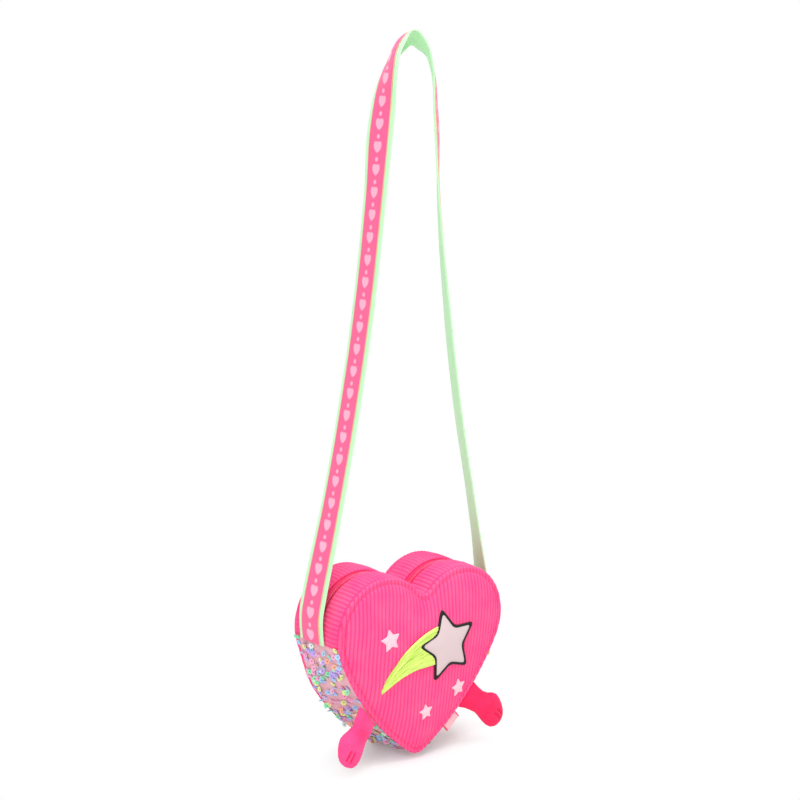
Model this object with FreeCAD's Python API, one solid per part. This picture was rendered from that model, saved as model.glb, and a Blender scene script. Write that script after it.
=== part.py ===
"""Heart shaped shoulder purse: corduroy body, zip over the lobes, woven strap, stuffed arms.

Millimetres. The heart is drawn in the XZ plane with its lobe centres on Z = 0 and its front at -Y.
Every piece is then moved so that the origin is under the top of the strap, where the purse hangs.
"""
import FreeCAD, Part
import math
import os

V = FreeCAD.Vector

# The heart, outside edge to outside edge
BAG_WIDTH = 165.0
BAG_HEIGHT = 147.0
BAG_DEPTH = 60.0
CLEFT_DEPTH = 17.5
CLEFT_RADIUS = 8.0
SIDE_RADIUS = 204.0
TIP_RADIUS = 13.6

# Cloth, padding and the gaps between layers
CORDUROY = 1.6
MESH = 1.2
FOAM = 3.0
LINING = 0.6
LAYER_GAP = 0.1
WELT_DIAMETER = 5.5
BACK_WELT_SET = 0.3
SIDE_INSET = 0.4
FRONT_SET = 1.0
FRONT_CROWN = 3.0
SEAM_DROP = 7.5
SEAM_GAP = 0.3

# The strap
STRAP_WIDTH = 30.0
WEBBING = 1.4
RIBBON = 0.6
RIBBON_WIDTH = 22.0
STRAP_CLEAR = 0.35
SHOULDER_Z = 34.0
SHOULDER_RADIUS = 110.0
WAIST_X = 39.5
WAIST_Z = 255.0
WAIST_RADIUS = 900.0
ARCH_Z = 453.0
ARCH_RADIUS = 22.0
STRAP_LEAN = 12.0

# The zip
TAPE = 0.6
TAPE_WIDTH = 10.0
TOOTH_PITCH = 2.0
TOOTH_WIDTH = 0.6
TOOTH_HEIGHT = 1.6
TOOTH_REACH = 2.1
TOOTH_CROSS = 0.7
ZIP_RIGHT_ANGLE = 56.0
ZIP_LEFT_ANGLE = 16.0
STOP_LENGTH = 1.6
STOP_HEIGHT = 2.2
SLOT_MARGIN = 1.2

# The slider and its pull
SLIDER_ANGLE = 54.0
SLIDER_LENGTH = 9.5
SLIDER_FLARE = 0.7
SLIDER_PLATE = 1.0
FLANGE = 0.6
RUN_CLEAR = 0.4
NECK_WIDTH = 2.2
NECK_TIP = 0.6
NECK_BACK = 1.9
BRIDGE_LENGTH = 4.8
BRIDGE_HEIGHT = 2.7
BRIDGE_BAR = 0.9
BRIDGE_WIDTH = 2.0
PULL_LENGTH = 15.0
PULL_WIDTH = 6.0
PULL_WAIST = 4.2
PULL_THICKNESS = 1.2
PULL_CLEAR = 0.5

# The stuffed arms: their seat on the seam, then widths, thicknesses and places as shares of the length
ARM_SEAM_ANGLE = -39.7
ARM_GAP = 0.9
ARM_ROOT_WIDTH = 20.0
ARM_ROOT_THICKNESS = 1.8
LEFT_ARM_DROOP = 19.0
RIGHT_ARM_DROOP = 2.0
ARM_LENGTH = 44.0
ELBOW_SHARE = 0.16
ELBOW_THICKNESS = 7.2
WRIST_SHARE = 0.38
WRIST_WIDTH = 17.0
WRIST_THICKNESS = 9.0
HAND_SHARE = 0.62
HAND_WIDTH = 23.0
HAND_THICKNESS = 12.5
THUMB_BULGE = 3.0
FINGER_SHARE = 0.84
FINGER_THICKNESS = 11.2
FINGERTIP_SHARE = 0.96
FINGERTIP_WIDTH = 15.6
FINGERTIP_THICKNESS = 7.5
ARM_END_WIDTH = 7.4
ARM_END_THICKNESS = 3.5

# The folded side tab and the applique
TAB_GAP = 8.0
TAB_LENGTH = 16.0
TAB_REACH = 7.0
TAB_CLOTH = 0.5
PATCH = 0.8
BORDER = 1.3
BORDER_WIDTH = 4.4
STAR_X = 20.0
STAR_Z = -16.0
STAR_RADIUS = 31.0
STAR_WAIST = 0.52
STAR_POINTS = 5
STAR_TURN = 12.0
TAIL_LENGTH = 70.0
TAIL_WIDTH = 40.0
TAIL_ANGLE = 205.0
TAIL_BOW = 10.0
SMALL_STARS = [(-38.0, -4.0, 9.5), (36.0, -54.0, 8.0), (2.0, -68.0, 7.0)]


def polar(x, z, radius, degrees):
    """A point in the XZ plane at an angle round a centre."""
    turn = math.radians(degrees)
    return V(x + radius * math.cos(turn), 0, z + radius * math.sin(turn))


def arc(x, z, radius, start, end):
    """An arc in the XZ plane between two angles."""
    middle = (start + end) / 2
    return Part.Arc(*(polar(x, z, radius, a) for a in (start, middle, end))).toShape()


# Circles of the heart: two lobes, the cleft between them, the two sides and the tip, all tangent
half = BAG_WIDTH / 2
cleft_reach = half + CLEFT_RADIUS
LOBE_RADIUS = cleft_reach + CLEFT_DEPTH - math.sqrt(2 * cleft_reach * CLEFT_DEPTH) - CLEFT_RADIUS
LOBE_X = half - LOBE_RADIUS
CLEFT_Z = math.sqrt((LOBE_RADIUS + CLEFT_RADIUS) ** 2 - LOBE_X ** 2)
CLEFT_ANGLE = math.degrees(math.atan2(-CLEFT_Z, LOBE_X))
TIP_Z = LOBE_RADIUS - BAG_HEIGHT + TIP_RADIUS
to_lobe = SIDE_RADIUS - LOBE_RADIUS
to_tip = SIDE_RADIUS - TIP_RADIUS
between = math.hypot(LOBE_X, TIP_Z)
along = (to_lobe ** 2 - to_tip ** 2 + between ** 2) / (2 * between)
across = math.sqrt(to_lobe ** 2 - along ** 2)
SIDE_X = LOBE_X - (along * LOBE_X - across * TIP_Z) / between
SIDE_Z = (along * TIP_Z + across * LOBE_X) / between
SIDE_START = math.degrees(math.atan2(-SIDE_Z, LOBE_X - SIDE_X))
SIDE_END = math.degrees(math.atan2(TIP_Z - SIDE_Z, -SIDE_X))
MIDDLE_Z = LOBE_RADIUS - BAG_HEIGHT / 2


def heart_wire(inset):
    """The heart's outline moved inwards by a distance."""
    return Part.Wire([
        arc(0, CLEFT_Z, CLEFT_RADIUS + inset, -180 - CLEFT_ANGLE, CLEFT_ANGLE),
        arc(LOBE_X, 0, LOBE_RADIUS - inset, 180 + CLEFT_ANGLE, SIDE_START),
        arc(SIDE_X, SIDE_Z, SIDE_RADIUS - inset, SIDE_START, SIDE_END),
        arc(0, TIP_Z, TIP_RADIUS - inset, SIDE_END, -180 - SIDE_END),
        arc(-SIDE_X, SIDE_Z, SIDE_RADIUS - inset, -180 - SIDE_END, -180 - SIDE_START),
        arc(-LOBE_X, 0, LOBE_RADIUS - inset, 180 - SIDE_START, -CLEFT_ANGLE),
    ])


def prism(wire, front, back):
    """A flat outline carried from one depth to another."""
    face = Part.Face(wire)
    face.translate(V(0, front, 0))
    return face.extrude(V(0, back - front, 0))


def side_band(outer, inner, front, back):
    """A band of cloth that follows the heart's outline."""
    hole = prism(heart_wire(inner), front - LAYER_GAP, back + LAYER_GAP)
    return prism(heart_wire(outer), front, back).cut(hole)


def half_space(low, high):
    """A block that holds all of the purse between two heights."""
    return Part.makeBox(2 * BAG_WIDTH, 2 * BAG_DEPTH, high - low, V(-BAG_WIDTH, -BAG_DEPTH, low))


# Places across the depth
front_edge = -BAG_DEPTH / 2
back_edge = BAG_DEPTH / 2
front_welt_y = front_edge + WELT_DIAMETER / 2
back_welt_y = back_edge - BACK_WELT_SET - WELT_DIAMETER / 2
band_front = front_edge + WELT_DIAMETER + LAYER_GAP
band_back = back_edge - BACK_WELT_SET - WELT_DIAMETER - LAYER_GAP
panel_inset = WELT_DIAMETER + LAYER_GAP

# Places across the zip
tape_inset = SIDE_INSET + CORDUROY + LAYER_GAP
zip_radius = LOBE_RADIUS - tape_inset - TAPE / 2
tape_edge = TOOTH_REACH + LAYER_GAP
slider_tail = TOOTH_REACH + RUN_CLEAR + FLANGE
slider_head = slider_tail + SLIDER_FLARE
zip_gap = slider_head + PULL_CLEAR
tape_back = tape_edge + TAPE_WIDTH
lining_inset = tape_inset + TAPE + LAYER_GAP
seam_top = -SEAM_DROP + SEAM_GAP / 2
seam_bottom = -SEAM_DROP - SEAM_GAP / 2
above_seam = half_space(seam_top, BAG_HEIGHT)
below_seam = half_space(-2 * BAG_HEIGHT, seam_bottom)

# Thickness of the strap, and the move from the heart's lobe centres to the hanging point
strap_thickness = WEBBING + LAYER_GAP + RIBBON
HANG = V(STRAP_LEAN, 0, -ARCH_Z)

parts = {}

# Corduroy front with its crown: a heart cut from a thin ball shell, with foam and lining behind it
crown_radius = (half ** 2 + FRONT_CROWN ** 2) / (2 * FRONT_CROWN)
crown_centre = V(0, front_edge + FRONT_SET - FRONT_CROWN + crown_radius, MIDDLE_Z)


def crowned(wire, outer_gap, thickness):
    """A layer of an outline bent over the crown, measured outwards from the front cloth's face."""
    outer = Part.makeSphere(crown_radius + outer_gap, crown_centre)
    inner = Part.makeSphere(crown_radius + outer_gap - thickness, crown_centre)
    block = prism(wire, front_edge - BAG_DEPTH / 2, 0)
    return block.common(outer).cut(inner)


panel_wire = heart_wire(panel_inset)
foam_gap = -CORDUROY - LAYER_GAP
lining_gap = foam_gap - FOAM - LAYER_GAP
parts["front_panel"] = crowned(panel_wire, 0, CORDUROY)
parts["front_foam"] = crowned(panel_wire, foam_gap, FOAM)
parts["front_lining"] = crowned(panel_wire, lining_gap, LINING)

# Flat back with its foam and lining
face_y = back_edge
for name, layer in (("back_panel", CORDUROY), ("back_foam", FOAM), ("back_lining", LINING)):
    parts[name] = prism(panel_wire, face_y - layer, face_y)
    face_y -= layer + LAYER_GAP


def welt(depth):
    """A round rolled edge along the heart's outline."""
    radius = WELT_DIAMETER / 2
    path = heart_wire(radius)
    path.translate(V(0, depth, 0))
    start = path.Edges[0].valueAt(path.Edges[0].FirstParameter)
    onward = path.Edges[0].tangentAt(path.Edges[0].FirstParameter)
    section = Part.Wire(Part.makeCircle(radius, start, onward))
    return path.makePipeShell([section], True, True)


parts["front_welt"] = welt(front_welt_y)
parts["back_welt"] = welt(back_welt_y)

# Side bands: corduroy above the strap seam, on both sides of the zip, and sequin mesh below it
strip_inner = SIDE_INSET + CORDUROY
parts["zip_strip_front"] = side_band(SIDE_INSET, strip_inner, band_front, -zip_gap).common(above_seam)
parts["zip_strip_rear"] = side_band(SIDE_INSET, strip_inner, zip_gap, band_back).common(above_seam)
parts["sequin_band"] = side_band(SIDE_INSET, SIDE_INSET + MESH, band_front, band_back).common(below_seam)

# Side lining, open under the zip
slot = zip_gap + SLOT_MARGIN
lining_band = side_band(lining_inset, lining_inset + LINING, band_front, band_back)
lining_slot = Part.makeBox(2 * BAG_WIDTH, 2 * slot, BAG_HEIGHT, V(-BAG_WIDTH, -slot, seam_top))
parts["side_lining"] = lining_band.cut(lining_slot)

# Zip tapes under the corduroy strips
tape_band = (tape_inset, tape_inset + TAPE)
parts["zip_tape_front"] = side_band(*tape_band, -tape_back, -tape_edge).common(above_seam)
parts["zip_tape_rear"] = side_band(*tape_band, tape_edge, tape_back).common(above_seam)

# Zip teeth along the tapes' inner edges: the two rows share one pitch, half a pitch apart
lobe_turn = 180 + CLEFT_ANGLE
cleft_run = (LOBE_RADIUS + CLEFT_RADIUS - zip_radius) * math.radians(90 + CLEFT_ANGLE)


def zip_station(run):
    """Centre and outward angle on the zip at a run from the cleft, positive to the right."""
    side = 1 if run >= 0 else -1
    if abs(run) < cleft_run:
        radius = LOBE_RADIUS + CLEFT_RADIUS - zip_radius
        angle = -90 + math.degrees(abs(run) / radius)
        point, outward = polar(0, CLEFT_Z, radius, angle), angle + 180
    else:
        outward = lobe_turn - math.degrees((abs(run) - cleft_run) / zip_radius)
        point = polar(LOBE_X, 0, zip_radius, outward)
    if side < 0:
        point.x, outward = -point.x, 180 - outward
    return point, outward


def zip_run(angle):
    """Run from the cleft to an angle on a lobe."""
    return cleft_run + math.radians(lobe_turn - angle) * zip_radius


def zip_block(run, length, height, front, back):
    """A block that sits on the zip's line."""
    point, outward = zip_station(run)
    block = Part.makeBox(length, back - front, height, V(-length / 2, front, -height / 2))
    block.Placement = FreeCAD.Placement(point, FreeCAD.Rotation(V(0, 1, 0), 90 - outward))
    return block


first_run = -zip_run(ZIP_LEFT_ANGLE)
teeth = int((zip_run(ZIP_RIGHT_ANGLE) - first_run) / TOOTH_PITCH)
tooth = (TOOTH_WIDTH, TOOTH_HEIGHT)
front_runs = [first_run + i * TOOTH_PITCH for i in range(teeth)]
parts["zip_teeth_front"] = Part.makeCompound(
    [zip_block(run, *tooth, -TOOTH_REACH, TOOTH_CROSS) for run in front_runs])
parts["zip_teeth_rear"] = Part.makeCompound(
    [zip_block(run + TOOTH_PITCH / 2, *tooth, -TOOTH_CROSS, TOOTH_REACH) for run in front_runs])

# Stops at both ends of the zip
slider_half_turn = math.degrees(SLIDER_LENGTH / 2 / zip_radius)
stop_run = zip_run(SLIDER_ANGLE - slider_half_turn) + STOP_LENGTH
stop = (STOP_LENGTH, STOP_HEIGHT)
parts["zip_top_stops"] = Part.makeCompound([
    zip_block(stop_run, *stop, -TOOTH_REACH, -LAYER_GAP),
    zip_block(stop_run, *stop, LAYER_GAP, TOOTH_REACH),
])
parts["zip_bottom_stop"] = zip_block(first_run - TOOTH_PITCH, *stop, -TOOTH_REACH, TOOTH_REACH)

# Slider, drawn flat with +X towards the closed end of the zip, then set on the right lobe.
# The zip drops away from the flat slider towards its ends, so the channel has room for that.
end_drop = zip_radius - math.sqrt(zip_radius ** 2 - (SLIDER_LENGTH / 2) ** 2)
channel_top = TOOTH_HEIGHT / 2 + RUN_CLEAR
channel_bottom = -TOOTH_HEIGHT / 2 - end_drop - RUN_CLEAR
flange_top = TAPE / 2 + RUN_CLEAR
flange_bottom = -TAPE / 2 - end_drop - RUN_CLEAR
plate_top = channel_top + SLIDER_PLATE


def polygon(points, low, high):
    """A flat outline in XY carried from one height to another."""
    corners = [V(x, y, low) for x, y in points]
    face = Part.Face(Part.makePolygon(corners + corners[:1]))
    return face.extrude(V(0, 0, high - low))


def slider_outline(narrower):
    """The slider's plan, wide at the head and narrow at the tail."""
    front, rear = SLIDER_LENGTH / 2, -SLIDER_LENGTH / 2
    head, tail = slider_head - narrower, slider_tail - narrower
    return [(rear, -tail), (front, -head), (front, head), (rear, tail)]


def slider_plate(low, high):
    """One wing of the slider with its corners rounded."""
    plate = polygon(slider_outline(0), low, high)
    upright = [e for e in plate.Edges if e.BoundBox.ZLength > (high - low) / 2]
    return plate.makeFillet(SLIDER_PLATE, upright)


def slider_rails(low, high):
    """The turned edges of a wing, which keep the teeth in the channel."""
    return polygon(slider_outline(0), low, high).cut(polygon(slider_outline(FLANGE), low, high))


neck_front = SLIDER_LENGTH / 2 - SLIDER_PLATE / 2
neck = polygon([(NECK_TIP, 0), (NECK_BACK, -NECK_WIDTH / 2), (neck_front, -NECK_WIDTH / 2),
                (neck_front, NECK_WIDTH / 2), (NECK_BACK, NECK_WIDTH / 2)], channel_bottom, channel_top)


def bridge_face(length, height):
    """The area under an arch that stands on the slider's upper wing."""
    foot, other = V(-length / 2, 0, plate_top), V(length / 2, 0, plate_top)
    bow = Part.Arc(foot, V(0, 0, plate_top + height), other).toShape()
    return Part.Face(Part.Wire([bow, Part.makeLine(other, foot)]))


bridge = bridge_face(BRIDGE_LENGTH, BRIDGE_HEIGHT).cut(
    bridge_face(BRIDGE_LENGTH - 2 * BRIDGE_BAR, BRIDGE_HEIGHT - BRIDGE_BAR))
bridge.translate(V(0, -BRIDGE_WIDTH / 2, 0))
slider = slider_plate(channel_top, plate_top).multiFuse([
    slider_plate(channel_bottom - SLIDER_PLATE, channel_bottom),
    slider_rails(flange_top, channel_top),
    slider_rails(channel_bottom, flange_bottom),
    neck,
    bridge.extrude(V(0, BRIDGE_WIDTH, 0)),
]).removeSplitter()

# Pull: a waisted tab with a window that goes round the slider's bridge
bar_radius = PULL_THICKNESS / 2
pivot_height = plate_top + (BRIDGE_HEIGHT - BRIDGE_BAR) / 2
window_end = BRIDGE_LENGTH / 2 + PULL_CLEAR
eye_end = window_end + PULL_THICKNESS
pull_low = pivot_height - bar_radius
pull_high = pivot_height + bar_radius
tab_half, waist_half = PULL_WIDTH / 2, PULL_WAIST / 2
tab_middle = (eye_end + PULL_LENGTH) / 2
tab_side = [V(0, tab_half, pull_low), V(eye_end, tab_half, pull_low),
            V(tab_middle, waist_half, pull_low), V(PULL_LENGTH - tab_half, tab_half, pull_low)]
other_side = [V(p.x, -p.y, p.z) for p in tab_side]
round_end = V(PULL_LENGTH, 0, pull_low)
tab_wire = Part.Wire([
    Part.makeLine(tab_side[0], tab_side[1]),
    Part.Arc(*tab_side[1:]).toShape(),
    Part.Arc(tab_side[3], round_end, other_side[3]).toShape(),
    Part.Arc(*reversed(other_side[1:])).toShape(),
    Part.makeLine(other_side[1], other_side[0]),
    Part.makeLine(other_side[0], tab_side[0]),
])
window_half = BRIDGE_WIDTH / 2 + PULL_CLEAR
window = Part.makeBox(window_end, 2 * window_half, PULL_THICKNESS, V(0, -window_half, pull_low))
bar = Part.makeCylinder(bar_radius, PULL_WIDTH, V(0, -tab_half, pivot_height), V(0, 1, 0))
pull = Part.Face(tab_wire).extrude(V(0, 0, PULL_THICKNESS)).cut(window).fuse(bar).removeSplitter()

slider_place = FreeCAD.Placement(
    polar(LOBE_X, 0, zip_radius, SLIDER_ANGLE), FreeCAD.Rotation(V(0, 1, 0), 90 - SLIDER_ANGLE))
for name, shape in (("zip_slider", slider), ("zip_pull", pull)):
    shape.Placement = slider_place
    parts[name] = shape

# Strap: straight up past the lobes, leaning in along the limbs and over a round arch
sew_x = half + STRAP_CLEAR


def leaning(x, z):
    """A corner of the strap's line; the arch hangs a little to the left of the heart's middle."""
    return V(x - STRAP_LEAN * max(0, z - SHOULDER_Z) / (ARCH_Z - SHOULDER_Z), 0, z)


right_corners = [(sew_x, -SEAM_DROP), (sew_x, SHOULDER_Z), (WAIST_X, WAIST_Z), (ARCH_RADIUS, ARCH_Z)]
left_limb = [leaning(-x, z) for x, z in right_corners]
right_limb = [leaning(x, z) for x, z in reversed(right_corners)]
strap_corners = left_limb + right_limb
bend_radii = [SHOULDER_RADIUS, WAIST_RADIUS, ARCH_RADIUS]
strap_radii = bend_radii + bend_radii[::-1]


def left_of(direction):
    """The direction a quarter turn to the left in the XZ plane, which points out of the loop."""
    return V(-direction.z, 0, direction.x)


def heading(start, end):
    """The unit direction between two points."""
    return (end - start).normalize()


def strap_line(out):
    """Edges of the strap's inner face moved outwards, as straight runs and tangent arcs."""
    edges = []
    last = strap_corners[0] + left_of(heading(*strap_corners[:2])) * out
    bends = zip(strap_corners, strap_corners[1:], strap_corners[2:], strap_radii)
    for before, corner, after, radius in bends:
        one, two = heading(before, corner), heading(corner, after)
        side = 1 if one.x * two.z - one.z * two.x > 0 else -1
        tangent = radius * math.tan(math.acos(one.dot(two)) / 2)
        centre = corner - one * tangent + left_of(one) * side * radius
        spoke = side * (radius - side * out)
        middle = (left_of(one) + left_of(two)).normalize()
        start, bow, end = (centre - d * spoke for d in (left_of(one), middle, left_of(two)))
        edges += [Part.makeLine(last, start), Part.Arc(start, bow, end).toShape()]
        last = end
    finish = strap_corners[-1] + left_of(heading(*strap_corners[-2:])) * out
    return edges + [Part.makeLine(last, finish)]


def strap_layer(inner, outer, width):
    """One layer of the strap between two distances from its inner face."""
    low, high = strap_line(inner), strap_line(outer)
    ends = [Part.makeLine(low[i].Vertexes[i].Point, high[i].Vertexes[i].Point) for i in (0, -1)]
    wire = Part.Wire(Part.__sortEdges__(low + high + ends))
    return prism(wire, -width / 2, width / 2)


parts["strap_webbing"] = strap_layer(0, WEBBING, STRAP_WIDTH)
parts["strap_ribbon"] = strap_layer(WEBBING + LAYER_GAP, strap_thickness, RIBBON_WIDTH)

# Stuffed arms sewn into the front seam, each a swelling mitten with a thumb bulge
arm_root = polar(SIDE_X, SIDE_Z, SIDE_RADIUS + ARM_GAP, ARM_SEAM_ANGLE)
arm_sections = [
    (ELBOW_SHARE, WRIST_WIDTH, 0, ELBOW_THICKNESS),
    (WRIST_SHARE, WRIST_WIDTH, THUMB_BULGE / 3, WRIST_THICKNESS),
    (HAND_SHARE, HAND_WIDTH, THUMB_BULGE, HAND_THICKNESS),
    (FINGER_SHARE, HAND_WIDTH, 0, FINGER_THICKNESS),
    (FINGERTIP_SHARE, FINGERTIP_WIDTH, 0, FINGERTIP_THICKNESS),
    (1, ARM_END_WIDTH, 0, ARM_END_THICKNESS),
]
diagonal = math.sqrt(1 / 2)


def oval(centre, up, width, bulge, thickness):
    """A closed section of four arcs, wider by a bulge on the side towards a direction in the XZ plane."""
    depth = V(0, thickness / 2, 0)
    reach = {1: width / 2 + bulge, -1: width / 2}
    tips = [centre + up * reach[1], centre + depth, centre - up * reach[-1], centre - depth]
    corners = [centre + up * side * reach[side] * diagonal + depth * face * diagonal
               for side, face in ((1, -1), (1, 1), (-1, 1), (-1, -1))]
    arcs = [Part.Arc(corners[i], tips[i], corners[(i + 1) % 4]).toShape() for i in range(4)]
    return Part.Wire(arcs)


def stuffed_arm(droop):
    """The right-hand arm, turned down from the seam's normal by an angle."""
    turn = ARM_SEAM_ANGLE - droop
    root_up = polar(0, 0, 1, ARM_SEAM_ANGLE + 90)
    along_arm, arm_up = polar(0, 0, 1, turn), polar(0, 0, 1, turn + 90)
    base = V(arm_root.x, front_welt_y, arm_root.z)
    sections = [oval(base, root_up, ARM_ROOT_WIDTH, 0, ARM_ROOT_THICKNESS)]
    for share, width, bulge, thickness in arm_sections:
        sections.append(oval(base + along_arm * ARM_LENGTH * share, arm_up, width, bulge, thickness))
    return Part.makeLoft(sections, True, False)


parts["right_arm"] = stuffed_arm(RIGHT_ARM_DROOP)
parts["left_arm"] = stuffed_arm(LEFT_ARM_DROOP).mirror(V(0, 0, 0), V(1, 0, 0))

# Side tab: a ribbon folded into a loop and caught in the front seam
fold = TAB_CLOTH + LAYER_GAP / 2
loop_outside = Part.Wire([
    Part.makeLine(V(0, -fold, 0), V(TAB_REACH - fold, -fold, 0)),
    Part.Arc(V(TAB_REACH - fold, -fold, 0), V(TAB_REACH, 0, 0), V(TAB_REACH - fold, fold, 0)).toShape(),
    Part.makeLine(V(TAB_REACH - fold, fold, 0), V(0, fold, 0)),
    Part.makeLine(V(0, fold, 0), V(0, -fold, 0)),
])
loop_slit = Part.makeBox(TAB_REACH - fold, LAYER_GAP, TAB_LENGTH, V(0, -LAYER_GAP / 2, 0))
tab = Part.Face(loop_outside).extrude(V(0, 0, TAB_LENGTH)).cut(loop_slit)
tab.translate(V(0, 0, -TAB_LENGTH / 2))
tab_run = ARM_ROOT_WIDTH / 2 + TAB_GAP + TAB_LENGTH / 2
tab_angle = ARM_SEAM_ANGLE - math.degrees(tab_run / SIDE_RADIUS)
tab_point = polar(SIDE_X, SIDE_Z, SIDE_RADIUS + STRAP_CLEAR, tab_angle)
tab.Placement = FreeCAD.Placement(
    V(tab_point.x, front_welt_y, tab_point.z), FreeCAD.Rotation(V(0, 1, 0), -tab_angle))
parts["side_tab"] = tab


def star_wire(x, z, radius, turn):
    """A star with its first point upwards, turned by an angle."""
    reaches = [radius, radius * STAR_WAIST] * STAR_POINTS
    points = [polar(x, z, reach, 90 + turn + 180 / STAR_POINTS * i) for i, reach in enumerate(reaches)]
    return Part.makePolygon(points + points[:1])


# Applique: a star patch in a raised border, with a swept tail and small loose stars
border_outer = star_wire(STAR_X, STAR_Z, STAR_RADIUS, STAR_TURN)
border_inner = star_wire(STAR_X, STAR_Z, STAR_RADIUS - BORDER_WIDTH, STAR_TURN)
border_hole = prism(border_inner, front_edge - BAG_DEPTH, BAG_DEPTH)
parts["star_border"] = crowned(border_outer, LAYER_GAP + BORDER, BORDER).cut(border_hole)
patch_wire = star_wire(STAR_X, STAR_Z, STAR_RADIUS - BORDER_WIDTH - LAYER_GAP, STAR_TURN)
parts["star_patch"] = crowned(patch_wire, LAYER_GAP + PATCH, PATCH)

tail_along, tail_up = polar(0, 0, 1, TAIL_ANGLE), polar(0, 0, 1, TAIL_ANGLE - 90)
star_centre = V(STAR_X, 0, STAR_Z)
tail_roots = [star_centre + tail_up * side * TAIL_WIDTH / 2 for side in (1, -1)]
tail_end = star_centre + tail_along * TAIL_LENGTH
tail_bows = [(root + tail_end) / 2 + tail_up * TAIL_BOW for root in tail_roots]
tail_wire = Part.Wire([
    Part.Arc(tail_roots[0], tail_bows[0], tail_end).toShape(),
    Part.Arc(tail_end, tail_bows[1], tail_roots[1]).toShape(),
    Part.makeLine(tail_roots[1], tail_roots[0]),
])
clear_wire = star_wire(STAR_X, STAR_Z, STAR_RADIUS + LAYER_GAP, STAR_TURN)
star_clear = prism(clear_wire, front_edge - BAG_DEPTH, BAG_DEPTH)
parts["star_tail"] = crowned(tail_wire, LAYER_GAP + PATCH, PATCH).cut(star_clear)
parts["small_stars"] = Part.makeCompound(
    [crowned(star_wire(x, z, radius, STAR_TURN), LAYER_GAP + PATCH, PATCH) for x, z, radius in SMALL_STARS])

os.makedirs("parts", exist_ok=True)
for name, shape in parts.items():
    shape.translate(HANG)
    shape.exportStep(f"parts/{name}.step")
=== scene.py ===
"""Heart shaped corduroy purse: cloth, zip, sequins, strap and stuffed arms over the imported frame."""
import bpy
import math
import random
import numpy as np
from mathutils import Matrix, Vector


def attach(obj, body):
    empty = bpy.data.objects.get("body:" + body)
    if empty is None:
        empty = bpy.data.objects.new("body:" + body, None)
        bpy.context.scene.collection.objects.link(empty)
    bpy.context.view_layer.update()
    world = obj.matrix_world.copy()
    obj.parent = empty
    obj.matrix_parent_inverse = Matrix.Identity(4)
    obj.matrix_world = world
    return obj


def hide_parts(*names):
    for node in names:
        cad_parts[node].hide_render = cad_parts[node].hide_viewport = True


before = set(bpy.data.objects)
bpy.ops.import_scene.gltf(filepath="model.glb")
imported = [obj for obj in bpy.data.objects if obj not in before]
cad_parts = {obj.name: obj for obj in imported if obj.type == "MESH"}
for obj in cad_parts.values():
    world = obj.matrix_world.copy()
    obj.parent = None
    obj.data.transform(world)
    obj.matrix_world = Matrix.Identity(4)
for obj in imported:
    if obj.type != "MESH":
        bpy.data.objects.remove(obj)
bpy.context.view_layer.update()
random.seed(7)

# Front panel: wide-wale cotton corduroy cut to a heart with upright ribs, laid over thin foam.
# It is caught in the edge seam, so it swells in the middle and dips at its topstitched rim.
# Millimetres from the lobe centres, front at -Y; the purse hangs below the strap's top.
HANG = np.array((12.0, 0.0, -453.0))
BAG_HALF, BAG_HEIGHT, CLEFT_DEPTH = 82.5, 147.0, 17.5
CLEFT_RADIUS, FLANK_RADIUS, TIP_RADIUS = 8.0, 204.0, 13.6
cleft_reach = BAG_HALF + CLEFT_RADIUS
LOBE_RADIUS = cleft_reach + CLEFT_DEPTH - math.sqrt(2 * cleft_reach * CLEFT_DEPTH) - CLEFT_RADIUS
LOBE_X = BAG_HALF - LOBE_RADIUS
CLEFT_Z = math.sqrt((LOBE_RADIUS + CLEFT_RADIUS) ** 2 - LOBE_X ** 2)
CLEFT_END = math.degrees(math.atan2(-CLEFT_Z, LOBE_X))
TIP_Z = LOBE_RADIUS - BAG_HEIGHT + TIP_RADIUS
to_lobe, to_tip = FLANK_RADIUS - LOBE_RADIUS, FLANK_RADIUS - TIP_RADIUS
lobe_to_tip = math.hypot(LOBE_X, TIP_Z)
down = (to_lobe ** 2 - to_tip ** 2 + lobe_to_tip ** 2) / (2 * lobe_to_tip)
aside = math.sqrt(to_lobe ** 2 - down ** 2)
FLANK_X = LOBE_X - (down * LOBE_X - aside * TIP_Z) / lobe_to_tip
FLANK_Z = (down * TIP_Z + aside * LOBE_X) / lobe_to_tip
FLANK_FIRST = math.degrees(math.atan2(-FLANK_Z, LOBE_X - FLANK_X))
FLANK_LAST = math.degrees(math.atan2(TIP_Z - FLANK_Z, -FLANK_X))
# Centre, radius, first and last angle of each arc of the right half, from the cleft down to the point.
HEART = (
    (0.0, CLEFT_Z, CLEFT_RADIUS, -90.0, CLEFT_END),
    (LOBE_X, 0.0, LOBE_RADIUS, CLEFT_END + 180, FLANK_FIRST),
    (FLANK_X, FLANK_Z, FLANK_RADIUS, FLANK_FIRST, FLANK_LAST),
    (0.0, TIP_Z, TIP_RADIUS, FLANK_LAST, -90.0),
)
HALF_RUN = sum(radius * math.radians(abs(last - first)) for _, _, radius, first, last in HEART)
WALE, WALE_HEIGHT, PER_WALE = 3.5, 0.5, 8
PANEL_INSET, PANEL_EASE, CLOTH = 2.6, 12.0, 0.0012
GROOVE, STITCH_INSET = 0.9, 4.3
FRONT_RIM, PUFF = -27.8, 9.0
BACK_RIM, BACK_CROWN = -29.2, 1.1
FOAM_TOP, FOAM_MIDDLE, FOAM_ROUND, COVER = -30.3, -29.8, 2272.0, 0.9


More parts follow.
